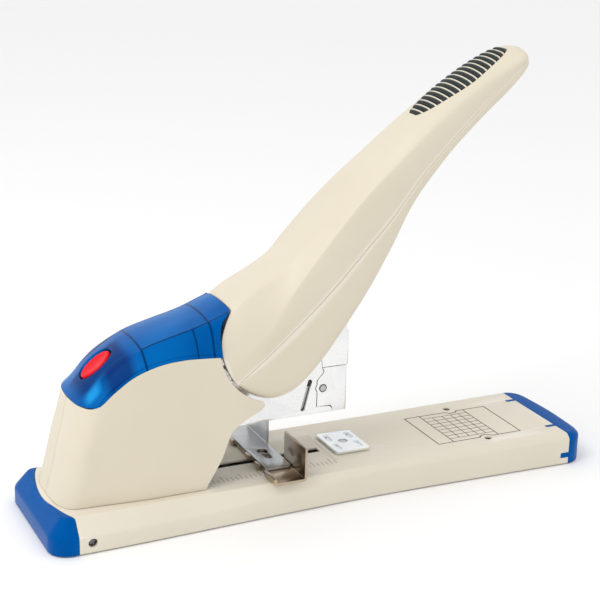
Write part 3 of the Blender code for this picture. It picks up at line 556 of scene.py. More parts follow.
def make_looks():
    """Every finish on the object, by name."""
    return {
        "cream": moulded("cream_plastic", (0.715, 0.65, 0.52), (0.69, 0.625, 0.495), (0.78, 0.72, 0.6),
                         0.003, 0.42, Specular_IOR_Level=0.35),
        "paint": moulded("cream_paint", (0.74, 0.685, 0.57), (0.72, 0.66, 0.545), (0.8, 0.75, 0.65),
                         0.004, 0.38, Specular_IOR_Level=0.4, Coat_Weight=0.15, Coat_Roughness=0.25),
        "blue": moulded("blue_plastic", (0.0, 0.088, 0.35), (0.0, 0.08, 0.32), (0.0, 0.15, 0.5),
                        0.0005, 0.3, Specular_IOR_Level=0.08, Specular_Tint=BLUE_SHINE),
        "clear": clear_blue(),
        "red": moulded("red_plastic", (0.8, 0.004, 0.015), (0.72, 0.003, 0.012), (0.9, 0.02, 0.03),
                       0.0004, 0.25, Specular_IOR_Level=0.14, Subsurface_Weight=0.15,
                       Subsurface_Scale=0.002),
        "rubber": moulded("black_rubber", (0.014, 0.022, 0.022), (0.01, 0.015, 0.015), (0.03, 0.04, 0.04),
                          0.008, 0.55, Specular_IOR_Level=0.3),
        "nickel": brushed("nickel_steel", (0.9, 0.9, 0.895), (0.85, 0.85, 0.85), 0.26, (0.15, 1, 1), 0.0006),
        "zinc": brushed("zinc_steel", (0.5, 0.51, 0.52), (0.44, 0.45, 0.46), 0.3, (1, 0.12, 1), 0.002,
                        (0.72, 0.71, 0.68)),
        # The anvil's finish: a paler, smoother copy of zinc_steel whose paler colour is painted light.
        "bright": brushed("zinc_steel", (0.84, 0.88, 0.9), (0.78, 0.82, 0.84), 0.22, (1, 0.12, 1), 0.001,
                          (0.95, 0.95, 0.93), "lit_zinc"),
        "bronze": brushed("bronze_steel", (0.46, 0.38, 0.3), (0.36, 0.3, 0.25), 0.2, (1, 1, 0.12), 0.0015,
                          (0.55, 0.43, 0.3)),
        "dark": brushed("dark_steel", (0.2, 0.2, 0.21), (0.14, 0.14, 0.15), 0.38, (1, 1, 0.1)),
        "ink": moulded("black_rubber", (0.02, 0.022, 0.022), (0.03, 0.03, 0.03), (0.05, 0.05, 0.05),
                       0.001, 0.5, "printed_ink", Specular_IOR_Level=0.2),
        "tick": moulded("cream_paint", (0.3, 0.27, 0.22), (0.36, 0.33, 0.28), (0.4, 0.36, 0.3),
                        0.001, 0.45, "ruler_ink", Specular_IOR_Level=0.2),
    }


def clear_blue():
    """Tinted see-through plastic for the cover: the walls below it show as darker lines and zones of painted
    shade, beside one painted highlight.
    """
    made = Look("clear_blue_plastic", "clear_blue_plastic", 0.2, Transmission_Weight=0.35, IOR=1.46,
                Specular_Tint=BLUE_SHINE, Specular_IOR_Level=0.07)
    split = made.node("ShaderNodeSeparateXYZ")
    made.link(made.where, split.inputs[0])
    x, y = split.outputs["X"], split.outputs["Y"]
    drift = made.ramp(made.noise(30, 2.0), 0.35, 0.65)
    tone = made.blend(drift, (0.0, 0.19, 0.62), (0.0, 0.13, 0.48))
    # Painted shade: darker lines where the cross walls inside show through, the middle one only on the flanks.
    flank = made.ramp(made.size(y), 14.6 * MM, 15.0 * MM)
    for centre, half, where in RIB_SHADE_LINES:
        line = made.stripe(x, centre, half)
        tone = made.blend(made.product(line, flank) if where == "flank" else line, tone, RIB_SHADE_COLOUR)
    # A painted shadow line along each ridge, forward of the rearmost cross wall.
    ridge = made.product(made.stripe(made.size(y), 15.4, 0.35), made.ramp(x, -98.2 * MM, -97.6 * MM))
    tone = made.blend(ridge, tone, RIB_SHADE_COLOUR)
    # Painted shadow in a ring round the button's dish, and painted shade in a patch on each flank near it.
    button_shadow = made.product(made.stripe(x, -115.5, 9.5, 3.5), made.stripe(y, -3.5, 7.6, 2.5))
    shade = made.product(made.stripe(x, -110.0, 4.5, 4.0), made.stripe(made.size(y), 18.0, 4.5, 2.0))
    # Painted highlight: a bright refracted streak on each flank near the back.
    painted_glint = made.product(made.stripe(x, -122.5, 1.6, 3.0), made.stripe(made.size(y), 16.5, 1.2, 2.5))
    for zone, colour in ((button_shadow, (0.0, 0.05, 0.25)), (shade, (0.0, 0.035, 0.22)), (painted_glint, (0.02, 0.42, 0.95))):
        tone = made.blend(zone, tone, colour)
    # The cover's convex edges turn darker: painted shade.
    made.colour(made.blend(made.edges(0.54, 0.64), tone, (0.0, 0.1, 0.4)))
    made.roughness(made.noise(400, 2.0), 0.14, 0.24)
    made.bump((made.noise(700, 2.0), 0.001))
    return made.material


SLOT_LOOK = {"cream_plastic": "cream", "cream_paint": "paint", "blue_plastic": "blue",
             "clear_blue_plastic": "clear", "red_plastic": "red", "black_rubber": "rubber",
             "nickel_steel": "nickel", "zinc_steel": "zinc", "bronze_steel": "bronze", "dark_steel": "dark"}


# ---------------------------------------------------------------- base
def base_half(x):
    """Half width of the base at its bottom edge."""
    if x < 30:
        return 32.8 + 5.3 * ease((30 - x) / 180)
    return 32.8 + 2.8 * ((x - 30) / 120) ** 1.3


def base_plan():
    """Right-hand half of the base's outline, from the back end to the front end."""
    flat_back, back_round, front_round, front_bow = 28.0, 10, 11, 1.6
    back = base_half(-140) - flat_back
    front = base_half(FRONT_CAP_X) - front_round
    reach = BASE_FRONT - front_bow - FRONT_CAP_X
    half = [(BASE_BACK, y) for y in np.linspace(0, 26, 6)]
    for turn in np.radians(range(0, 91, 6)):
        half.append((BASE_BACK + back_round - back_round * math.cos(turn), flat_back + back * math.sin(turn)))
    half += [(x, base_half(x)) for x in np.linspace(REAR_CAP_X, FRONT_CAP_X - 1, 47)]
    for turn in np.radians(range(6, 79, 6)):
        half.append((FRONT_CAP_X + reach * math.sin(turn), front + front_round * math.cos(turn)))
    half += [(BASE_FRONT - front_bow * (y / flat_back) ** 1.6, y)
             for y in (24.5, 21.0, 17.0, 12.5, 8.0, 4.0, 0.0)]
    return half


def base_ring(height, inset):
    """A closed ring round the base; height and inset are functions of x."""
    half = np.array(base_plan())
    slope = np.gradient(half, axis=0)
    normal = np.stack([-slope[:, 1], slope[:, 0]], axis=1)
    normal /= np.linalg.norm(normal, axis=1)[:, None]
    normal[0] = (-1, 0)
    normal[-1] = (1, 0)
    moved = []
    for (x, y), n in zip(half, normal):
        moved.append((x - n[0] * inset(x), y - n[1] * inset(x), height(x)))
    return [(x, -y, z) for x, y, z in moved] + [(x, y, z) for x, y, z in reversed(moved[1:-1])]


def base_section(x):
    """Outside of the base from its bottom edge to its flat top, as (inset, height) with rounded folds."""
    fold = 8.9 + 5.3 * ease((x + 75) / 105) + 0.9 * ease((x - 60) / 80)
    shoulder = base_half(x) - TOP_HALF - 1.2 * ease((x - 40) / 90) + 0.2
    corners = [(0.0, BASE_FLOOR), (0.0, fold), (shoulder, BASE_TOP), (shoulder + 2.4, BASE_TOP)]
    return [corners[0]] + rounded(corners, 1.3, 6)[6:18] + [corners[-1]]


def base_shell(name):
    """The whole base as one thin shell, open at the bottom."""
    sections = {}

    def level(k, part):
        def at(x):
            if x not in sections:
                sections[x] = base_section(x)
            return sections[x][k][part]
        return at

    count = len(base_section(0.0))
    outer = [base_ring(level(k, 1), level(k, 0)) for k in range(count)]
    inner = [base_ring(lambda x: BASE_TOP - DECK, lambda x: base_section(x)[-3][0] + 1.0),
             base_ring(lambda x: base_section(x)[2][1] - 1.5, lambda x: BASE_WALL),
             base_ring(lambda x: BASE_FLOOR, lambda x: BASE_WALL)]
    rings = outer + inner
    size = len(rings[0])
    faces = grid_faces(len(outer), size, True)
    lower = len(outer) * size
    faces += [tuple(lower + c for c in face) for face in grid_faces(3, size, True)]
    foot = (len(rings) - 1) * size
    faces += [(foot + k, foot + (k + 1) % size, (k + 1) % size, k) for k in range(size)]
    faces += [tuple(lower - size + k for k in range(size)), tuple(lower + k for k in range(size))]
    return solid(name, flat(rings), faces)


def rear_region(name, offset):
    """The space of the rear cap: its edge bows round the foot of the body."""
    edge = REAR_CAP_X + offset
    half = 32.0
    bow = [(edge - 7.3 * (1 - (y / half) ** 2) ** 0.8, y) for y in np.linspace(-half, half, 49)]
    return prism(name, [(-170, -60), (edge, -60)] + bow + [(edge, 60), (-170, 60)], (-5, 30), "XY")


def front_region(name, offset):
    """The space of the front cap, with two tongues on top and one low on each side."""
    edge = [(FRONT_CAP_X + offset, -60)]
    for y in (-20.2, 20.2):
        half = 1.25 - offset
        edge += [(FRONT_CAP_X + offset, y - half)]
        edge += circle((FRONT_CAP_X - 4.6 + offset, y), half, 12, 270, 90)
        edge += [(FRONT_CAP_X + offset, y + half)]
    edge.append((FRONT_CAP_X + offset, 60))
    region = prism(name, edge + [(170, 60), (170, -60)], (-5, 30), "XY")
    tip, low, high = FRONT_CAP_X - 5 + offset, 4.2 + offset, 7.0 - offset
    tongue = rounded([(tip, low), (145, low), (145, high), (tip, high)], 0.6, 4)
    return join(region, prism("tongue", tongue, (-60, -20)), prism("tongue", tongue, (20, 60)))


def base_group(looks):
    """The pressed steel base with its two end caps, feet and cross pin."""
    deck = (10, 25)
    plate = cut(base_shell("base_deck"), rear_region("rear", PARTING), front_region("front", -PARTING))
    slot = circle((SLOT_BACK + SLOT_HALF, SLOT_Y), SLOT_HALF, 24, 90, 270)
    slot += [(SLOT_FRONT, SLOT_Y - SLOT_HALF), (SLOT_FRONT, SLOT_Y + SLOT_HALF)]
    cut(plate, prism("slot", slot, deck, "XY"))
    for side, _ in SIDES:
        cut(plate, rod("hole", (TABLE_HOLES[0], side * TABLE_HOLES[1]), 2.0, deck, "XY", 32))
    cut(plate, rod("anvil_hole", ANVIL_CENTRE, 2.3, deck, "XY", 32))
    cut(plate, rod("pin_hole", CROSS_PIN, 2.3, (-45, 45), "XZ", 36))
    for x in FRAME_SCREW_X:
        for side, _ in SIDES:
            cut(plate, rod("screw_hole", (x, side * FRAME_SCREW_Y), 2.0, deck, "XY", 24))
    crest = [(5.6, 17.1), (6.4, 17.7), (7.0, 18.0), (7.7, 18.0), (8.2, 17.7), (8.6, 17.1)]
    join(plate, prism("crease", crest, (-17.5, 17.0)))
    place(tidy(plate, 0.35), "base_plate", looks["paint"])
    for end, region, offset in (("rear", rear_region, -PARTING), ("front", front_region, PARTING)):
        cap = keep(base_shell(end + "_end_cap"), region(end, offset))
        place(tidy(cap, 0.4), "base_%s_cap" % end, looks["blue"])
    pad = [(3.2, 0.35), (4.0, 0.1), (5.2, 0.0), (5.9, 0.15), (6.4, 0.6), (6.5, 1.2), (6.5, 1.7)]
    for end, x in (("rear", -112), ("front", 122)):
        for side, hand in SIDES:
            tag = end + "_" + hand
            place(tidy(turned("rubber_" + tag, pad, (x, side * 20))), "foot_" + tag, looks["rubber"])
    pin = [(1.2, -36.4), (1.8, -36.1), (2.0, -35.6), (2.0, 35.6), (1.8, 36.1), (1.2, 36.4)]
    place(tidy(turned("cross_pin", pin, CROSS_PIN, "XZ")), "base_cross_pin", looks["dark"])


def ruler_ticks():
    """Ticks along the near side of the slot, every fourth one long."""
    ticks = []
    near, half = -21.5, 0.24
    low, high = BASE_TOP - PRINT_DEPTH, BASE_TOP + PRINT_RISE
    for k in range(34):
        x = -77.0 + 2.5 * k
        reach = 6.6 if k % 4 == 0 else 4.0
        ticks.append(box("tick", (x - half, near, low), (x + half, near + reach, high)))
    return gather("ruler_ticks", ticks)


def printed_table():
    """A plain table without text, its frame bowed in round the two holes."""
    west, east, south, north = 66.7, 117.7, -20.0, 18.0
    left, right = 76.0, 104.0
    notch, rows = 4.4, 9
    lines = []
    for y, way in ((south, 1), (north, -1)):
        bow = [(TABLE_HOLES[0] + notch * math.cos(t), y - way * notch / 2 + way * notch * math.sin(t))
               for t in np.radians(range(30, 151, 15))]
        path = [(east, y)] + bow + [(west, y)]
        lines += [(a, b, 0.6) for a, b in zip(path, path[1:])]
    lines += [((x, south), (x, north), 0.6) for x in (west, east)]
    lines += [((x, south), (x, north), 0.5) for x in (left, right)]
    for k in range(1, rows):
        y = south + (north - south) * k / rows
        lines.append(((left, y), (right, y), 0.42))
    lines += [((x, south + 4.2), (x, north - 4.2), 0.42) for x in (82.0, 88.0, 93.5, 98.5)]
    return gather("printed_table", [strip(*line) for line in lines])


def printed_marks(looks):
    """What is printed on the deck."""
    place(ruler_ticks(), None, looks["tick"], "base")
    place(printed_table(), None, looks["ink"], "base")


def strip(start, end, wide):
    """A printed line from start to end."""
    start, end = np.array(start), np.array(end)
    along = (end - start) / np.linalg.norm(end - start)
    side = np.array([-along[1], along[0]]) * wide / 2
    start, end = start - along * wide / 2, end + along * wide / 2
    outline = [tuple(start - side), tuple(end - side), tuple(end + side), tuple(start + side)]
    return prism("strip", outline, (BASE_TOP - PRINT_DEPTH, BASE_TOP + PRINT_RISE), "XY")


def anvil_group(looks):
    """The clinch plate with its four pockets, riveted on the deck."""
    outline = rounded([(9.7, -12.9), (29.2, -12.9), (29.2, 12.9), (9.7, 12.9)], 1.6)
    plate = prism("clinch_anvil", outline, (17.6, 19.1), "XY")
    near, far, half = 3.4, 8.6, 1.4
    for x in (13.4, 25.6):
        for side in (-1, 1):
            turn = 90 - 90 * side
            pocket = circle((x, side * near), half, 12, 180 - turn, 360 - turn)
            pocket += circle((x, side * far), half, 12, turn, turn + 180)
            cut(plate, prism("pocket", pocket, (18.0, 20), "XY"))
    cut(plate, rod("hole", ANVIL_CENTRE, 2.5, (17, 20), "XY", 36))
    place(tidy(plate, 0.22), "anvil_plate", looks["bright"])
    head = [(1.9, 14.4), (1.9, 18.2), (2.3, 18.3), (2.3, 18.6), (1.9, 18.9), (1.2, 19.05)]
    place(tidy(turned("anvil_stud", head, ANVIL_CENTRE)), "anvil_rivet", looks["zinc"])


# ---------------------------------------------------------------- body and cover
BACK_LINE = curve([(17, -142.4), (30, -139.0), (45, -135.5), (55, -133.0), (66, -130.6), (90, -124.0)], 60)
BODY_FRONT = [(-68.7, BODY_FOOT), (-67.0, 21), (-60.4, 32), (-56.8, 41.2), (-53.8, 46.3), (-47.2, 50.8),
              (-39.7, 54.4), (-37.4, 56.6)]


def body_back(z):
    """X of the back of the body at height z."""
    return float(np.interp(z, BACK_LINE[:, 0], BACK_LINE[:, 1]))


def body_half(x, z):
    """Half width of the body's outside, rounding in to nothing at its back."""
    back = body_back(z)
    wide = 24.2 + 2.5 * ease((max(x, back + BACK_ROUND) + 137) / 45) - 2.2 * (z - 17) / 70
    near = min(max(1 - (x - back) / BACK_ROUND, 0.0), 1.0)
    power = 3.0 - 0.6 * ease((z - 40) / 26)
    return wide * (1 - near ** power) ** (1 / power)


def body_surface(name):
    """The right-hand side of the body as an even grid between its foot, front, seam and back."""
    rows, foot_rows, length = 56, 32, 78
    wrap_round = [BACK_ROUND * (1 - math.cos(t) ** (2 / 3)) for t in np.radians(np.linspace(3, 90, 16))]
    shares = [0.0] + [d / length for d in wrap_round] + list(np.linspace(BACK_ROUND / length, 1, 34)[1:])
    front = np.vstack([curve(BODY_FRONT, foot_rows),
                       circle(BODY_ARC, BODY_ARC_R, rows - foot_rows, 253.0, 190.0)])
    seam = curve(SEAM, 90) - (0, PARTING)
    seam[-1] = front[-1]
    run = np.linspace(0, 1, len(seam))
    back = np.array([(body_back(z), z) for z in np.linspace(BODY_FOOT, seam[0][1], rows)])
    back[-1] = seam[0]
    points = []
    for r in range(rows):
        v = r / (rows - 1)
        for u in shares:
            top = np.array([np.interp(u, run, seam[:, 0]), np.interp(u, run, seam[:, 1])])
            low = back[0] + (front[0] - back[0]) * u
            corner = ((1 - u) * (1 - v) * back[0] + u * (1 - v) * front[0] + (1 - u) * v * back[-1]
                      + u * v * front[-1])
            x, z = (1 - v) * low + v * top + (1 - u) * back[r] + u * front[r] - corner
            points.append((x, -max(body_half(x, z), 0.12), z))
    return solid(name, points, grid_faces(rows, len(shares)))


def body_group(looks):
    """Two half shells that meet on the centre plane, the left one a mirror image."""
    shell = body_surface("side_casing_right")
    thicken(shell, SHELL)
    tidy(shell, 0.45, 3)
    mesh = shell.data.copy()
    mesh.transform(mathutils.Matrix.Diagonal((1, -1, 1, 1)))
    mesh.flip_normals()
    other = bpy.data.objects.new("side_casing_left", mesh)
    scene.collection.objects.link(other)
    place(shell, "body_shell_right", looks["cream"])
    place(other, "body_shell_left", looks["cream"])


# ---------------------------------------------------------------- cover
COVER_TOP = [(-130.9, 66.25), (-127.2, 70.2), (-123, 75.2), (-118.4, 79.9), (-109.3, 86.4),
             (-96.8, 92.4), (-84.2, 96.0), (-71.4, 99.2), (-61.8, 102.3), (-52.6, 106.3)]
COVER_RIDGE = [(-128.9, 66.2), (-125.6, 69.4), (-121.7, 74), (-117.4, 78.4), (-109.0, 84.6),
               (-96.8, 90.9), (-84.2, 94.6), (-71.4, 97.8), (-61.8, 100.9), (-52.2, 104.6)]
COVER_EDGE = [(-124.8, 66.12), (-120.4, 68.12), (-114.4, 73.32), (-104.2, 80.42), (-92, 84.52), (-79.8, 85.72),
              (-69, 85.32), (-60, 84.62)]


def cover_front(share):
    """Front end of the cover from its ridge (share 0) to its lower edge (share 1), clear of the hub."""
    turn = math.radians(150.9 + (190.5 - 150.9) * share)
    reach = COVER_RIDGE_R + (COVER_SIDE_R - COVER_RIDGE_R) * ease(share / 0.2)
    return np.array([PIVOT[0] + reach * math.cos(turn), PIVOT[1] + reach * math.sin(turn)])


def cover_half(top, ridge, edge, along):
    """Half a cross section of the cover, centre to lower edge; along is 0 at the back and 1 at the hub."""
    wide = body_half(edge[0], edge[1])
    narrow = 15.5 - 3.0 * ease((-112 - ridge[0]) / 20)
    half = [(top[0], 0.0, top[1])]
    for part in (0.5, 0.93):
        rise = 1 - (1 - part ** 2) ** 0.5 if part < 0.6 else part
        half.append((top[0] + (ridge[0] - top[0]) * rise, narrow * part, top[1] + (ridge[1] - top[1]) * rise))
    half.append((ridge[0], narrow, ridge[1]))
    last_ridge = np.array(COVER_RIDGE[-1])
    last_edge = np.array(COVER_EDGE[-1])
    for share in (0.07, 0.3, 0.55, 0.8, 1.0):
        end = cover_front(share) - (last_ridge + (last_edge - last_ridge) * share)
        spot = ridge + (edge - ridge) * share + end * ease((along - 0.7) / 0.3)
        out = 0.45 * math.sin(share * math.pi / 2) ** 0.9 + 0.55 * share
        half.append((spot[0], narrow + (wide - narrow) * out, spot[1]))
    return half


def cover_rows(count, inset=0.0):
    """Cross sections of the cover's outside, from the right lower edge over the top to the left one."""
    rows = []
    foot = COVER_RIDGE[0][1]
    lines = zip(curve(COVER_TOP, count), curve(COVER_RIDGE, count), curve(COVER_EDGE, count))
    for k, (top, ridge, edge) in enumerate(lines):
        half = cover_half(top, ridge, edge, k / (count - 1))
        settle = 1 - ease(k / (count - 1) / 0.12)
        if settle > 0:
            level = []
            for _, y, _ in half:
                round_in = 1 - (1 - (y / half[-1][1] * 0.985) ** 3) ** (1 / 3)
                level.append((body_back(foot) + BACK_ROUND * round_in, y, foot))
            half = [tuple(settle * a + (1 - settle) * b for a, b in zip(p, q)) for p, q in zip(level, half)]
        half = [(x, y * (1 - inset / 26), z - inset) for x, y, z in half]
        rows.append(both_sides(half[::-1]))
    return rows


def button_frame(u, v, lift):
    """A point on the button: u along the slope, v across, lift above the cover."""
    return (BUTTON_CENTRE[0] + u * math.cos(BUTTON_SLOPE) - lift * math.sin(BUTTON_SLOPE), v,
            BUTTON_CENTRE[1] + u * math.sin(BUTTON_SLOPE) + lift * math.cos(BUTTON_SLOPE))


def oval(name, levels, count=72):
    """Stacked ovals on the button's axis; levels are (half length, half width, lift)."""
    turns = np.arange(count) * 2 * math.pi / count
    return loft(name, [[button_frame(a * math.cos(t), b * math.sin(t), lift) for t in turns]
                       for a, b, lift in levels])


def cover_ribs():
    """Cross walls inside the cover, as slabs whose tops follow its inside."""
    rows = cover_rows(60, 2.0)
    ribs = []
    for back, thick, deep in ((-99.0, 1.2, 9.0), (-72.0, 1.0, 7.0), (-64.0, 1.2, 9.0)):
        slab = keep(box("slab", (back, -40, 60), (back + thick, 40, 120)), loft("full", rows))
        cut(slab, loft("hollow", [[(x, y * 0.86, z - deep) for x, y, z in row] for row in rows]))
        ribs.append(slab)
    return gather("cover_ribs", ribs)


def lip_line(above):
    """A line on the cover's outside at a distance above its lower edge, from its back to the hub."""
    line = []
    for row in cover_rows(60)[5:-3]:
        edge, inner = np.array(row[-1]), np.array(row[-2])
        line.append(edge + (inner - edge) * above / np.linalg.norm(inner - edge))
    return line


def clear_of_hub(item):
    """Pushes the cover's front rim out to the circle that the handle's hub turns in."""
    for vertex in item.data.vertices:
        x, z = vertex.co.x / MM - PIVOT[0], vertex.co.z / MM - PIVOT[1]
        side = min(max((abs(vertex.co.y) / MM - 14.8) / 6.0, 0.0), 1.0)
        out = max((COVER_RIDGE_R + (COVER_SIDE_R - COVER_RIDGE_R) * side) / math.hypot(x, z), 1.0)
        vertex.co.x = MM * (PIVOT[0] + x * out)
        vertex.co.z = MM * (PIVOT[1] + z * out)


def cover_group(looks):
    """The clear cover with the button sunk in a dish of its own."""
    rows = cover_rows(34)
    across = len(rows[0])
    cover = solid("clear_cover", flat(rows), grid_faces(len(rows), across))
    crease_rows(cover, across, {5: 0.62, across - 6: 0.62})
    subdivide(cover)
    thicken(cover, 1.2)
    clear_of_hub(cover)
    tidy(cover, 0.15, 2, 60)
    for side, _ in SIDES:
        lip = [(x, side * y, z) for x, y, z in lip_line(1.7)]
        cut(cover, tube("lip_groove", lip, 0.26, 8))
    cut(cover, oval("dish", [(11.2, 8.2, 4.0), (11.2, 8.2, 1.2), (10.3, 7.4, 0.6), (9.8, 6.9, 0.2),
                             (9.6, 6.7, -0.3), (9.6, 6.7, -8)]))
    smooth(cover, 32)
    place(cover, "top_cover", looks["clear"])
    place(tidy(cover_ribs()), None, looks["clear"], "base")
    button = oval("press_button", [(8.85, 6.05, -6.5), (8.9, 6.1, -3), (8.9, 6.1, 0.1), (8.8, 6.0, 0.45),
                                   (8.45, 5.65, 0.78), (7.9, 5.15, 0.9), (7.0, 4.5, 0.82), (5.0, 3.2, 0.58),
                                   (2.4, 1.5, 0.42), (0.7, 0.45, 0.4)])
    place(tidy(button), "release_button", looks["red"])
    fixed, free = (button_frame(0, 0, lift) for lift in BUTTON_SPRING)
    spring = place(tidy(coil("button_coil", free, fixed, 2.2, 0.3, 5)), "button_spring", looks["nickel"])
    shorten(spring, fixed, free)


# ---------------------------------------------------------------- handle
HANDLE_TOP = [(-52.1, 106.1), (-40.8, 114.6), (-30.1, 119.6), (-19.2, 126.6), (-8.4, 136.2), (2.4, 147.5),
              (13.3, 158.2), (24.2, 168.1), (35.2, 177.9), (46.3, 187.2), (57, 195.6), (68, 203.6), (79, 210.8),
              (90, 217.2), (99, 221.6), (106, 223.9), (110.5, 224.45), (113.6, 223.2)]
HANDLE_BAND = [(-51.5, 104.6), (-44.5, 109.8), (-38.2, 113.2), (-29, 118.2), (-19.2, 125.0), (-8.4, 134.6),
               (2.4, 145.8), (13.3, 156.4), (24.2, 166.3), (35.2, 176.2), (46.3, 185.4), (57.4, 193.8),
               (68.5, 201.8), (80, 209.0), (91, 215.4), (99, 219.2), (105.5, 221.8), (110, 222.8),
               (113.4, 222.2)]
HANDLE_CREASE = [(-58.8, 83.4), (-50.6, 85.0), (-42.6, 88.6), (-33.5, 96.6), (-24.5, 109.0), (-15.4, 121.2),
                 (-6.3, 131.9), (3.5, 142.6), (17.2, 156.2), (31.8, 168.2), (45, 179.0), (60, 190.6),
                 (78, 203.0), (94, 213.0), (104, 218.4), (110, 221.0), (113.6, 221.3)]
HANDLE_SPLIT = [(-51.3, 68.5), (-33.5, 82.7), (-15.1, 98.5), (3.5, 115.9), (17.9, 130.2), (32.4, 144.3),
                (50, 164.4), (69.1, 182.7), (88.7, 200.5), (98.8, 209.6), (107, 216.6), (114.0, 219.8)]
HANDLE_EDGE = [(-30.5, 57.7), (-19.9, 60.6), (-10.4, 68.4), (-1.9, 77.9), (10.9, 94.4), (20.1, 106.8),
               (27.8, 118.4), (34.5, 129.3), (39.3, 138.6), (44, 146.9), (50.7, 155.9), (58.5, 164.7),
               (67.3, 174), (76.3, 182.3), (87.3, 192), (98.9, 201.6), (106, 208.6), (111, 213.8),
               (114.4, 218.2)]


def tip_round(share):
    """1 along the handle, falling as a quarter ellipse over its last stretch."""
    return math.sqrt(max(1 - max((share - TIP_FROM) / (1.002 - TIP_FROM), 0) ** 2, 0.0))


def handle_half(x, share):
    """Half width of the handle, narrowing towards the grip and rounding in at its tip."""
    return (23.8 - 8.6 * ease((x + 10) / 105)) * (0.6 + 0.4 * tip_round(share))


def handle_flat(share):
    """Half width of the handle's top band."""
    return (15.2 - 3.4 * ease(share / 0.3) - 1.7 * ease((share - 0.5) / 0.35)) * (0.6 + 0.4 * tip_round(share))


def hub_bulge(rear, radius, share):
    """How far a line that starts at rear is pushed out to radius, so that the handle's rear end is round."""
    offset = rear - PIVOT
    return offset * (radius / np.linalg.norm(offset) - 1) * (1 - ease(share / 0.25))


def handle_rows(count):
    """Cross sections of the upper shell, from the right split line over the top to the left one."""
    rows = []
    top, band, crease, split = (curve(line, count)
                                for line in (HANDLE_TOP, HANDLE_BAND, HANDLE_CREASE, HANDLE_SPLIT))
    for k in range(count):
        share = k / (count - 1)
        wide = handle_half(split[k][0], share)
        flat = handle_flat(share)
        s, c, b, t = split[k], crease[k], band[k], top[k]
        half = []
        for part, wider in ((0.01, 0), (0.3, 0.2), (0.6, 0.25), (0.85, -0.05), (1.0, -0.6)):
            rear = split[0] + (crease[0] - split[0]) * part
            spot = s + (c - s) * part + hub_bulge(rear, HUB_R, share)
            half.append((spot[0], wide + wider, spot[1]))
        for part, spread, radius in ((0.35, 0.7, HUB_R), (0.7, 0.33, HUB_R - 2.4)):
            rear = crease[0] + (band[0] - crease[0]) * part
            spot = c + (b - c) * part + hub_bulge(rear, radius, share)
            half.append((spot[0], flat + (wide - flat) * spread, spot[1]))
        half.append((b[0], flat, b[1]))
        half.append((b[0] + (t[0] - b[0]) * 0.8, flat * 0.5, b[1] + (t[1] - b[1]) * 0.8))
        half.append((t[0], 0.0, t[1]))
        rows.append(both_sides(half))
    return rows


def hub_drum():
    """The wall that closes the upper shell's rear end above the hub, inside the cover."""
    rings = []
    outer = circle(PIVOT, DRUM_R, 25, 148.0, 200.0)
    inner = circle(PIVOT, DRUM_R - SHELL, 25, 148.0, 200.0)
    for k, ((x, z), (u, w)) in enumerate(zip(outer, inner)):
        half = min(14.4 + 0.45 * k, 21.8)
        rings.append([(x, -half, z), (x, half, z), (u, half, w), (u, -half, w)])
    return loft("drum", rings)


def upper_shell():
    """The upper shell: one skin over the top with a crease along each side, closed at its tip."""
    rows = handle_rows(HANDLE_ROWS)
    across = len(rows[0])
    faces = grid_faces(HANDLE_ROWS, across) + closed_end(HANDLE_ROWS, across)
    shell = solid("grip_arm_upper", flat(rows), faces)
    crease_rows(shell, across, {4: 0.4, across - 5: 0.4, 7: 0.45, across - 8: 0.45})
    subdivide(shell)
    thicken(shell, SHELL)
    tidy(shell, 0.14, 2, 40)
    return join(shell, hub_drum())


def lower_shell():
    """The lower shell: two cheeks joined by a web under the grip, open below over the hub."""
    count = HANDLE_ROWS
    split = curve(HANDLE_SPLIT, count)
    edge = curve(circle(PIVOT, HUB_R, 8, 221.0, 264.0)[:-1] + HANDLE_EDGE, count)
    rows = []
    for k, (s, e) in enumerate(zip(split, edge)):
        wide = handle_half(s[0], k / (count - 1))
        s = s + (e - s) / np.linalg.norm(e - s) * 0.15
        half = [(s, wide), (s + (e - s) * 0.35, wide), (s + (e - s) * 0.7, wide - 0.4),
                (s + (e - s) * 0.9, wide - 1.3), (e, wide - 3.2), (e, 0.0)]
        rows.append(both_sides([(spot[0], y, spot[1]) for spot, y in half]))
    across = len(rows[0])
    web_from = round(0.46 * count)
    open_below = (4, 5)
    faces = [f for f in grid_faces(count, across)
             if not (f[0] // across < web_from and f[0] % across in open_below)]
    faces += closed_end(count, across)
    used = sorted({k for f in faces for k in f})
    fresh = {old: new for new, old in enumerate(used)}
    points = [rows[k // across][k % across] for k in used]
    shell = solid("grip_arm_lower", points, [tuple(fresh[k] for k in f) for f in faces])
    subdivide(shell)
    thicken(shell, SHELL)
    return tidy(shell, 0.14, 2, 40)


def grip_place(u):
    """Place, direction along and direction out of the handle's top at u from 0 to 1 along the grip."""
    top = curve(HANDLE_TOP, 121)
    slope = np.gradient(top, axis=0)
    slope /= np.linalg.norm(slope, axis=1)[:, None]
    at = 79.0 + (114.2 - 79.0) * u
    spot = np.array([np.interp(at, np.arange(121), top[:, c]) for c in (0, 1)])
    along = np.array([np.interp(at, np.arange(121), slope[:, c]) for c in (0, 1)])
    return spot, along, np.array([-along[1], along[0]])


def grip_strip(name, stations, low):
    """A crowned band across the grip; stations are (u, growth, height, end), end pulling its tips in."""
    rings = []
    for u, grow, high, end in stations:
        spot, along, out = grip_place(min(max(u, 0.0), 1.0))
        wide = 10.9 * math.sin(math.pi * (0.015 + 0.97 * min(max(u, 0.0), 1.0))) ** 0.4 + grow - end
        ring = []
        for share in np.linspace(-1, 1, 17):
            drop = 1.4 * (share * wide / 9.0) ** 2 + (0.35 if abs(share) == 1 else 0.0)
            here = spot + out * (high - drop)
            ring.append((here[0], share * wide, here[1]))
        for share in (1.0, -1.0):
            here = spot + out * (low - 1.4 * (wide / 9.0) ** 2)
            ring.append((here[0], share * wide, here[1]))
        rings.append(ring)
    return loft(name, rings)


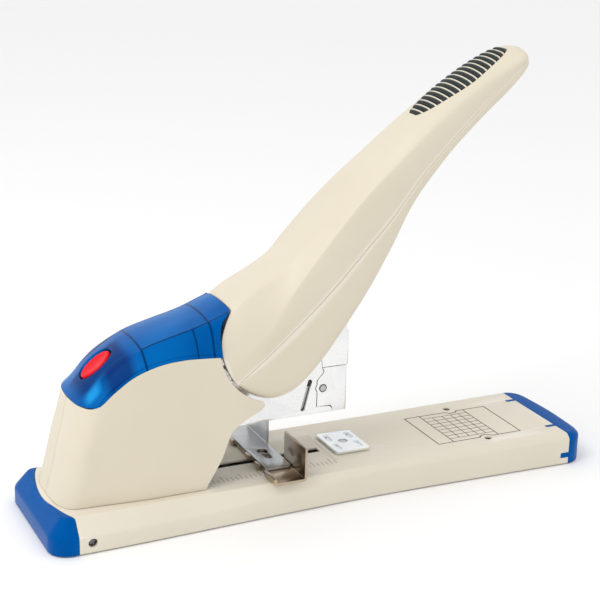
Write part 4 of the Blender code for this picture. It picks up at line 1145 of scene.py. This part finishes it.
def grip_group(looks, upper):
    """Rubber ribs in a recess of the upper shell, with thin cream fins between them."""
    cut(upper, grip_strip("recess", [(u, 0.25, 4.0, 0.0) for u in np.linspace(0, 1, 40)], -1.5))
    smooth(upper)
    rib_rise = [(0.0, -0.2), (0.06, 0.25), (0.2, 0.52), (0.5, 0.66), (0.8, 0.52), (0.94, 0.25), (1.0, -0.2)]
    fin_rise = ((0, -0.1), (0.15, 0.1), (0.85, 0.1), (1, -0.1))
    root = -1.2
    ribs, fins = [], []
    for k in range(GRIP_RIBS):
        start, stop = k / GRIP_RIBS, (k + 0.66) / GRIP_RIBS
        rib = [(start + (stop - start) * t, 0.0, high, 0.35 * abs(2 * t - 1) ** 3) for t, high in rib_rise]
        ribs.append(grip_strip("rib", rib, root))
        start, stop = (k + 0.7) / GRIP_RIBS, (k + 0.96) / GRIP_RIBS
        fin = [(start + (stop - start) * t, 0.15, high, 0.0) for t, high in fin_rise]
        fins.append(grip_strip("fin", fin, root))
    bpy.data.objects.remove(fins.pop(), do_unlink=True)
    place(tidy(gather("grip_ribs", ribs)), "grip_inlay", looks["rubber"])
    place(tidy(gather("grip_fins", fins)), None, looks["cream"], "handle")


def handle_group(looks):
    """The handle's two shells and its grip."""
    upper = upper_shell()
    grip_group(looks, upper)
    place(upper, "handle_upper_shell", looks["cream"])
    place(lower_shell(), "handle_lower_shell", looks["cream"])


# ---------------------------------------------------------------- steel parts
def wrap(name, back, front, levels, bend):
    """Sheet steel bent round the front of the head: open at x = back, its outside at x = front."""
    inner = HEAD_HALF - HEAD_SHEET
    stop = front - HEAD_SHEET
    section = [(back, -HEAD_HALF), (front, -HEAD_HALF), (front, HEAD_HALF), (back, HEAD_HALF),
               (back, inner), (stop, inner), (stop, -inner), (back, -inner)]
    radii = (0.05, bend, bend, 0.05, 0.05, bend * 0.4, bend * 0.4, 0.05)
    return prism(name, soft_section(section, radii), levels, "XY")


def head_group(looks):
    """The head's two cheek plates, the guide bent round their front and the magazine's nose below it."""
    joint = curve([(-1.6, 44.9), (-1.6, 52.8), (-2.6, 54.9), (-1.6, 57.0), (-1.5, 59.4), (2.0, 63.4),
                   (1.2, 66.0), (0.6, 72)], 26)
    joint = [tuple(p) for p in joint]
    outline = [(-124, 41.3), (7.4, 41.3), (7.1, 43.2), (6.0, 44.4)] + joint + [
        (0.6, 91), (-9, 91), (-14, 78), (-26, 66.5), (-44, 63.5), (-112, 63.5), (-124, 54)]
    slant = rounded([(-10.7, 43.9), (-8.3, 43.5), (-4.1, 59.6), (-5.4, 60.5), (-6.5, 60.1)], 0.9)
    for side, tag in SIDES:
        span = sorted((side * (HEAD_HALF - HEAD_SHEET), side * HEAD_HALF))
        plate = prism("head_cheek_" + tag, outline, span)
        cut(plate, prism("slot", slant, (-12, 12)))
        cut(plate, rod("hole", HEAD_AXLE, 3.2, (-12, 12)))
        for x in (-40, -80):
            cut(plate, rod("hole", (x, HEAD_RIVET_Z), 1.45, (-12, 12)))
        place(tidy(plate, 0.2), "head_plate_" + tag, looks["nickel"])
    for name, x in (("front", -40), ("rear", -80)):
        profile = [(0.5, -10.4), (1.0, -10.2), (1.2, -9.9), (1.2, 9.9), (1.0, 10.2), (0.5, 10.4)]
        stud = turned("head_stud_" + name, profile, (x, HEAD_RIVET_Z), "XZ", 24)
        place(tidy(stud), "head_rivet_" + name, looks["zinc"])

    upper = wrap("guide_wrap", 0.9, 16.6, (66.1, 91), 1.9)
    cut(upper, box("gap", (13.5, -5.0, 70.5), (18, 5.0, 92)))
    cut(upper, box("above", (14.9, -12, 84.0), (18, 12, 92)))
    cut(upper, prism("corner", [(0.4, 66), (1.4, 66), (0.8, 72.2), (0.4, 72.2)], (-12, 12)))
    place(tidy(upper, 0.2), "head_front_guide", looks["nickel"])

    nose = wrap("nose_wrap", -3.0, 16.0, (41.3, 65.8), 1.9)
    rear = [(x + 0.45, z) for x, z in joint if z < 65.9]
    flank = [(18, 41.2), (18, 66)] + [(1.65, 66)] + rear[::-1] + [(6.5, 44.9), (7.6, 43.6), (7.8, 41.2)]
    keep(nose, prism("flank", flank, (-12, 12)))
    cut(nose, rod("hole", NOSE_RIVET, 2.2, (-12, 12)), rod("dimple", (8.1, 54.1), 0.5, (-9.9, -9.3), count=20))
    place(tidy(nose, 0.22), "magazine_nose", looks["nickel"])
    for side, tag in SIDES:
        profile = [(1.2, 8.35), (1.85, 8.5), (1.85, 9.5), (1.6, 9.9), (1.1, 10.05), (0.5, 10.1)]
        stud = turned("nose_stud_" + tag, [(r, side * y) for r, y in profile], NOSE_RIVET, "XZ", 32)
        place(tidy(stud), "nose_rivet_" + tag, looks["zinc"])


def driver_group(looks):
    """The blade with its cross pin, and the plain axles and pins of the mechanism."""
    blade = rounded([(-6.4, 58.2), (6.4, 58.2), (6.4, 88.0), (-6.4, 88.0)], 0.5, 4)
    place(tidy(prism("staple_driver", blade, (13.0, 14.3), "YZ"), 0.1), "driver_blade", looks["dark"])
    profile = [(0.9, -8.2), (1.5, -7.9), (1.5, 7.9), (0.9, 8.2)]
    place(tidy(turned("driver_cross_pin", profile, DRIVER_PIN, "XZ", 32)), "driver_pin", looks["zinc"])
    for node, spot, radius, reach in (("handle_axle", PIVOT, 4.0, 20.4), ("head_axle", HEAD_AXLE, 3.0, 19.6),
                                      ("latch_axle", LATCH_PIN, 1.5, 18.9), ("frame_tie", (-62, 70), 2.2, 18.9),
                                      ("link_pin", LINK_PIN, 2.0, 15.2)):
        profile = [(radius * 0.35, -reach), (radius * 0.8, -reach), (radius, -reach + 0.5),
                   (radius, reach - 0.5), (radius * 0.8, reach), (radius * 0.35, reach)]
        place(tidy(turned("turned_" + node, profile, spot, "XZ", 40)), node, looks["zinc"])


def shorten(spring, fixed, free):
    """Gives a spring a mesh of its own."""
    fixed, free = np.array(fixed, float) * MM, np.array(free, float) * MM
    fixed[0] -= SHIFT
    free[0] -= SHIFT
    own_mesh(spring)


def spring_group(looks):
    """The springs inside the body and the magazine."""
    for node, start, end, radius, wire, turns in (
            ("handle_spring", (PIVOT[0], -8.0, PIVOT[1]), (PIVOT[0], 8.0, PIVOT[1]), 6.2, 0.7, 8),
            ("head_lift_spring", (-88.0, 0.0, 18.4), (-88.0, 0.0, 40.0), 5.0, 0.6, 8),
            ("pusher_spring", (-88.5, 0.0, 49.0), (-49.0, 0.0, 49.0), 2.6, 0.4, 16)):
        spring = place(tidy(coil("wound_" + node, start, end, radius, wire, turns)), node, looks["nickel"])
        if node == "head_lift_spring":
            shorten(spring, start, end)


def screw_group(looks):
    """The four cross-head screws that hold the frame on the base."""
    profile = [(1.3, 13.6), (1.7, 14.2), (1.7, 19.5), (3.2, 19.5), (3.2, 20.3), (2.8, 20.9), (2.0, 21.25),
               (1.0, 21.3)]
    for end, x in zip(("rear", "front"), FRAME_SCREW_X):
        for side, hand in SIDES:
            y = side * FRAME_SCREW_Y
            screw = turned("cross_screw_%s_%s" % (end, hand), profile, (x, y))
            for wide, deep in ((2.1, 0.35), (0.35, 2.1)):
                cut(screw, box("recess", (x - wide, y - deep, 20.5), (x + wide, y + deep, 22)))
            place(tidy(screw), "frame_screw_%s_%s" % (end, hand), looks["zinc"])


def staple_group(looks):
    """A glued stick of staples, each one its own body."""
    legs = [(-6.5, 43.4), (-5.9, 43.4), (-5.9, 56.7), (5.9, 56.7), (5.9, 43.4), (6.5, 43.4), (6.5, 57.0),
            (6.25, 57.3), (-6.25, 57.3), (-6.5, 57.0)]
    staples = []
    for k in range(STAPLES):
        x = STAPLE_BACK + STAPLE_PITCH * k
        staples.append(prism("staple", legs, (x, x + STAPLE_PITCH - 0.08), "YZ"))
    place(gather("staple_stick", staples), "staple_strip", looks["nickel"])


# ---------------------------------------------------------------- paper stop
def stop_group(looks):
    """The paper stop: a bronze-toned bracket, the zinc arm that lies in it and the screw through both."""
    sheet = 1.3
    low = BASE_TOP + 0.3
    top = low + 17.2
    near = -36.3
    back, front = -36.4, -18.6
    section = [(back, low + 3.6), (back, low), (front, low), (front, top), (front - sheet, top),
               (front - sheet, low + sheet), (back + sheet, low + sheet), (back + sheet, low + 3.6)]
    radii = (0.2, 1.5, 1.9, 0.3, 0.3, 0.6, 0.4, 0.2)
    bracket = prism("stop_bracket", soft_section(section, radii), (near, -11.0))
    lip = box("lip_end", (back - 1, -23.5, low - 1), (back + sheet + 0.01, 0, low + 6))
    cut(bracket, lip)
    join(bracket, box("floor", (-34.4, -23.0, low), (front, 24.0, low + sheet)))
    cut(bracket, box("side", (back - 1, -23.4, low - 1), (-34.4, 30, low + 6)))
    cut(bracket, box("front", (front - 0.6, -11.0, low - 1), (front + 1, 30, low + 3)))
    for y in (-13.4, -1.0, 20.5):
        hook = [(-34.0, low), (-34.0, low + sheet), (-35.0, low + sheet), (-35.0, low + 3.3),
                (near, low + 3.3), (near, low)]
        tab = prism("tab", soft_section(hook, (0.05, 0.05, 0.4, 0.3, 0.5, 1.2)), (y - 2.4, y + 2.4))
        join(bracket, tab)
    cut(bracket, rod("hole", (-27.2, -1.6), 2.2, (10, 25), "XY", 36))
    chamfer = [(near - 1, top - 1.5), (near + 1.5, top + 1), (near - 1, top + 1)]
    cut(bracket, prism("chamfer", chamfer, (front - 3, front + 3), "YZ"))
    place(tidy(bracket, 0.16), "paper_stop_bracket", looks["bronze"])

    floor_low = low + sheet + 0.3
    arm_sheet = 1.1
    section = [(-34.0, floor_low), (-19.2, floor_low), (-19.2, top), (-20.4, top),
               (-20.4, floor_low + arm_sheet), (-34.0, floor_low + arm_sheet)]
    arm = prism("stop_arm", soft_section(section, (0.1, 1.6, 0.2, 0.2, 0.6, 0.1)), (9.9, -near))
    join(arm, box("floor", (-34.0, -21.0, floor_low), (-20.2, 12.0, floor_low + arm_sheet)))
    key = circle((-26.9, 0.6), 2.9, 40, -45, 225) + circle((-26.9, -7.4), 2.0, 20, 180, 360)
    cut(arm, prism("keyhole", key, (10, 30), "XY"))
    for x, way in ((-34.0, 1), (-20.2, -1)):
        corner = [(x - way, -22), (x + way * 2.2, -22), (x - way, -18.8)]
        cut(arm, prism("corner", corner, (10, 30), "XY"))
    near_top = [(9.0, top - 2.2), (12.0, top + 1), (9.0, top + 1)]
    cut(arm, prism("slope", near_top, (-22, -18), "YZ"))
    place(tidy(arm, 0.14), "paper_stop_arm", looks["zinc"])

    profile = [(1.6, 18.9), (1.8, 18.7), (1.8, 12.3), (3.4, 12.3), (3.4, 11.4), (3.0, 11.0), (1.0, 11.0)]
    # The screw takes the dark steel finish so that the hole above it reads black: painted shade.
    place(tidy(turned("stop_screw", profile, (-27.2, -1.6))), "paper_stop_screw", looks["dark"])


# ---------------------------------------------------------------- pieces that keep their modelled shape
def softened(node, looks):
    """A copy of a CAD node with its sharp edges rounded, which stands for it."""
    made = bpy.data.objects.new("finished_" + node, frame["nodes"][node].data.copy())
    scene.collection.objects.link(made)
    shape = bmesh.new()
    shape.from_mesh(made.data)
    bmesh.ops.remove_doubles(shape, verts=shape.verts[:], dist=2e-6)
    bmesh.ops.dissolve_limit(shape, angle_limit=math.radians(1.5), verts=shape.verts[:], edges=shape.edges[:])
    shape.to_mesh(made.data)
    shape.free()
    place(tidy(made, 0.2, 2, 30), node, looks[SLOT_LOOK[SLOT_OF[node]]])


def finish_kept_nodes(looks):
    """Every CAD node that still shows gets rounded edges and its procedural material."""
    for node, item in sorted(frame["nodes"].items()):
        if not item.hide_render:
            softened(node, looks)


def build(looks):
    """Every piece with a shape of its own."""
    base_group(looks)
    printed_marks(looks)
    anvil_group(looks)
    body_group(looks)
    cover_group(looks)
    handle_group(looks)
    head_group(looks)
    driver_group(looks)
    spring_group(looks)
    screw_group(looks)
    staple_group(looks)
    stop_group(looks)


# ---------------------------------------------------------------- camera, floor and light
def camera():
    """The camera stands at the near rear corner and looks slightly down."""
    data = bpy.data.cameras.new("camera")
    data.lens = 90.5
    data.sensor_width = 36.0
    eye = bpy.data.objects.new("camera", data)
    right = (0.9053, -0.4241, 0.0239)
    up = (0.1085, 0.2852, 0.9523)
    back = (-0.4107, -0.8595, 0.3043)
    turn = mathutils.Matrix((right, up, back)).transposed().to_4x4()
    eye.matrix_world = mathutils.Matrix.Translation((-0.32245, -0.6561, 0.3326)) @ turn
    scene.collection.objects.link(eye)
    scene.camera = eye


def floor():
    """A wide, plain and pale floor."""
    half = 6000.0
    corners = [(-half, -half, 0), (half, -half, 0), (half, half, 0), (-half, half, 0)]
    plane = solid("floor", corners, [(0, 1, 2, 3)])
    look = bpy.data.materials.new("floor")
    look.use_nodes = True
    shader = look.node_tree.nodes["Principled BSDF"]
    shader.inputs["Base Color"].default_value = (0.95, 0.95, 0.95, 1)
    shader.inputs["Roughness"].default_value = 0.7
    plane.data.materials.append(look)


def lights():
    """A bright, even studio and one soft key light from above the rear end."""
    world = bpy.data.worlds.new("studio")
    world.use_nodes = True
    world.node_tree.nodes["Background"].inputs["Color"].default_value = (1, 1, 1, 1)
    world.node_tree.nodes["Background"].inputs["Strength"].default_value = 0.93
    scene.world = world
    scene.view_settings.view_transform = "Standard"
    data = bpy.data.lights.new("key", "AREA")
    data.shape = "RECTANGLE"
    data.size = data.size_y = 0.7
    data.energy = 5.0
    lamp = bpy.data.objects.new("key", data)
    lamp.location = (-0.75, -0.2, 1.1)
    aim = mathutils.Vector((0, 0, 0.08)) - lamp.location
    lamp.rotation_mode = "QUATERNION"
    lamp.rotation_quaternion = aim.to_track_quat("-Z", "Y")
    scene.collection.objects.link(lamp)


camera()
floor()
lights()
looks = make_looks()
build(looks)
finish_kept_nodes(looks)
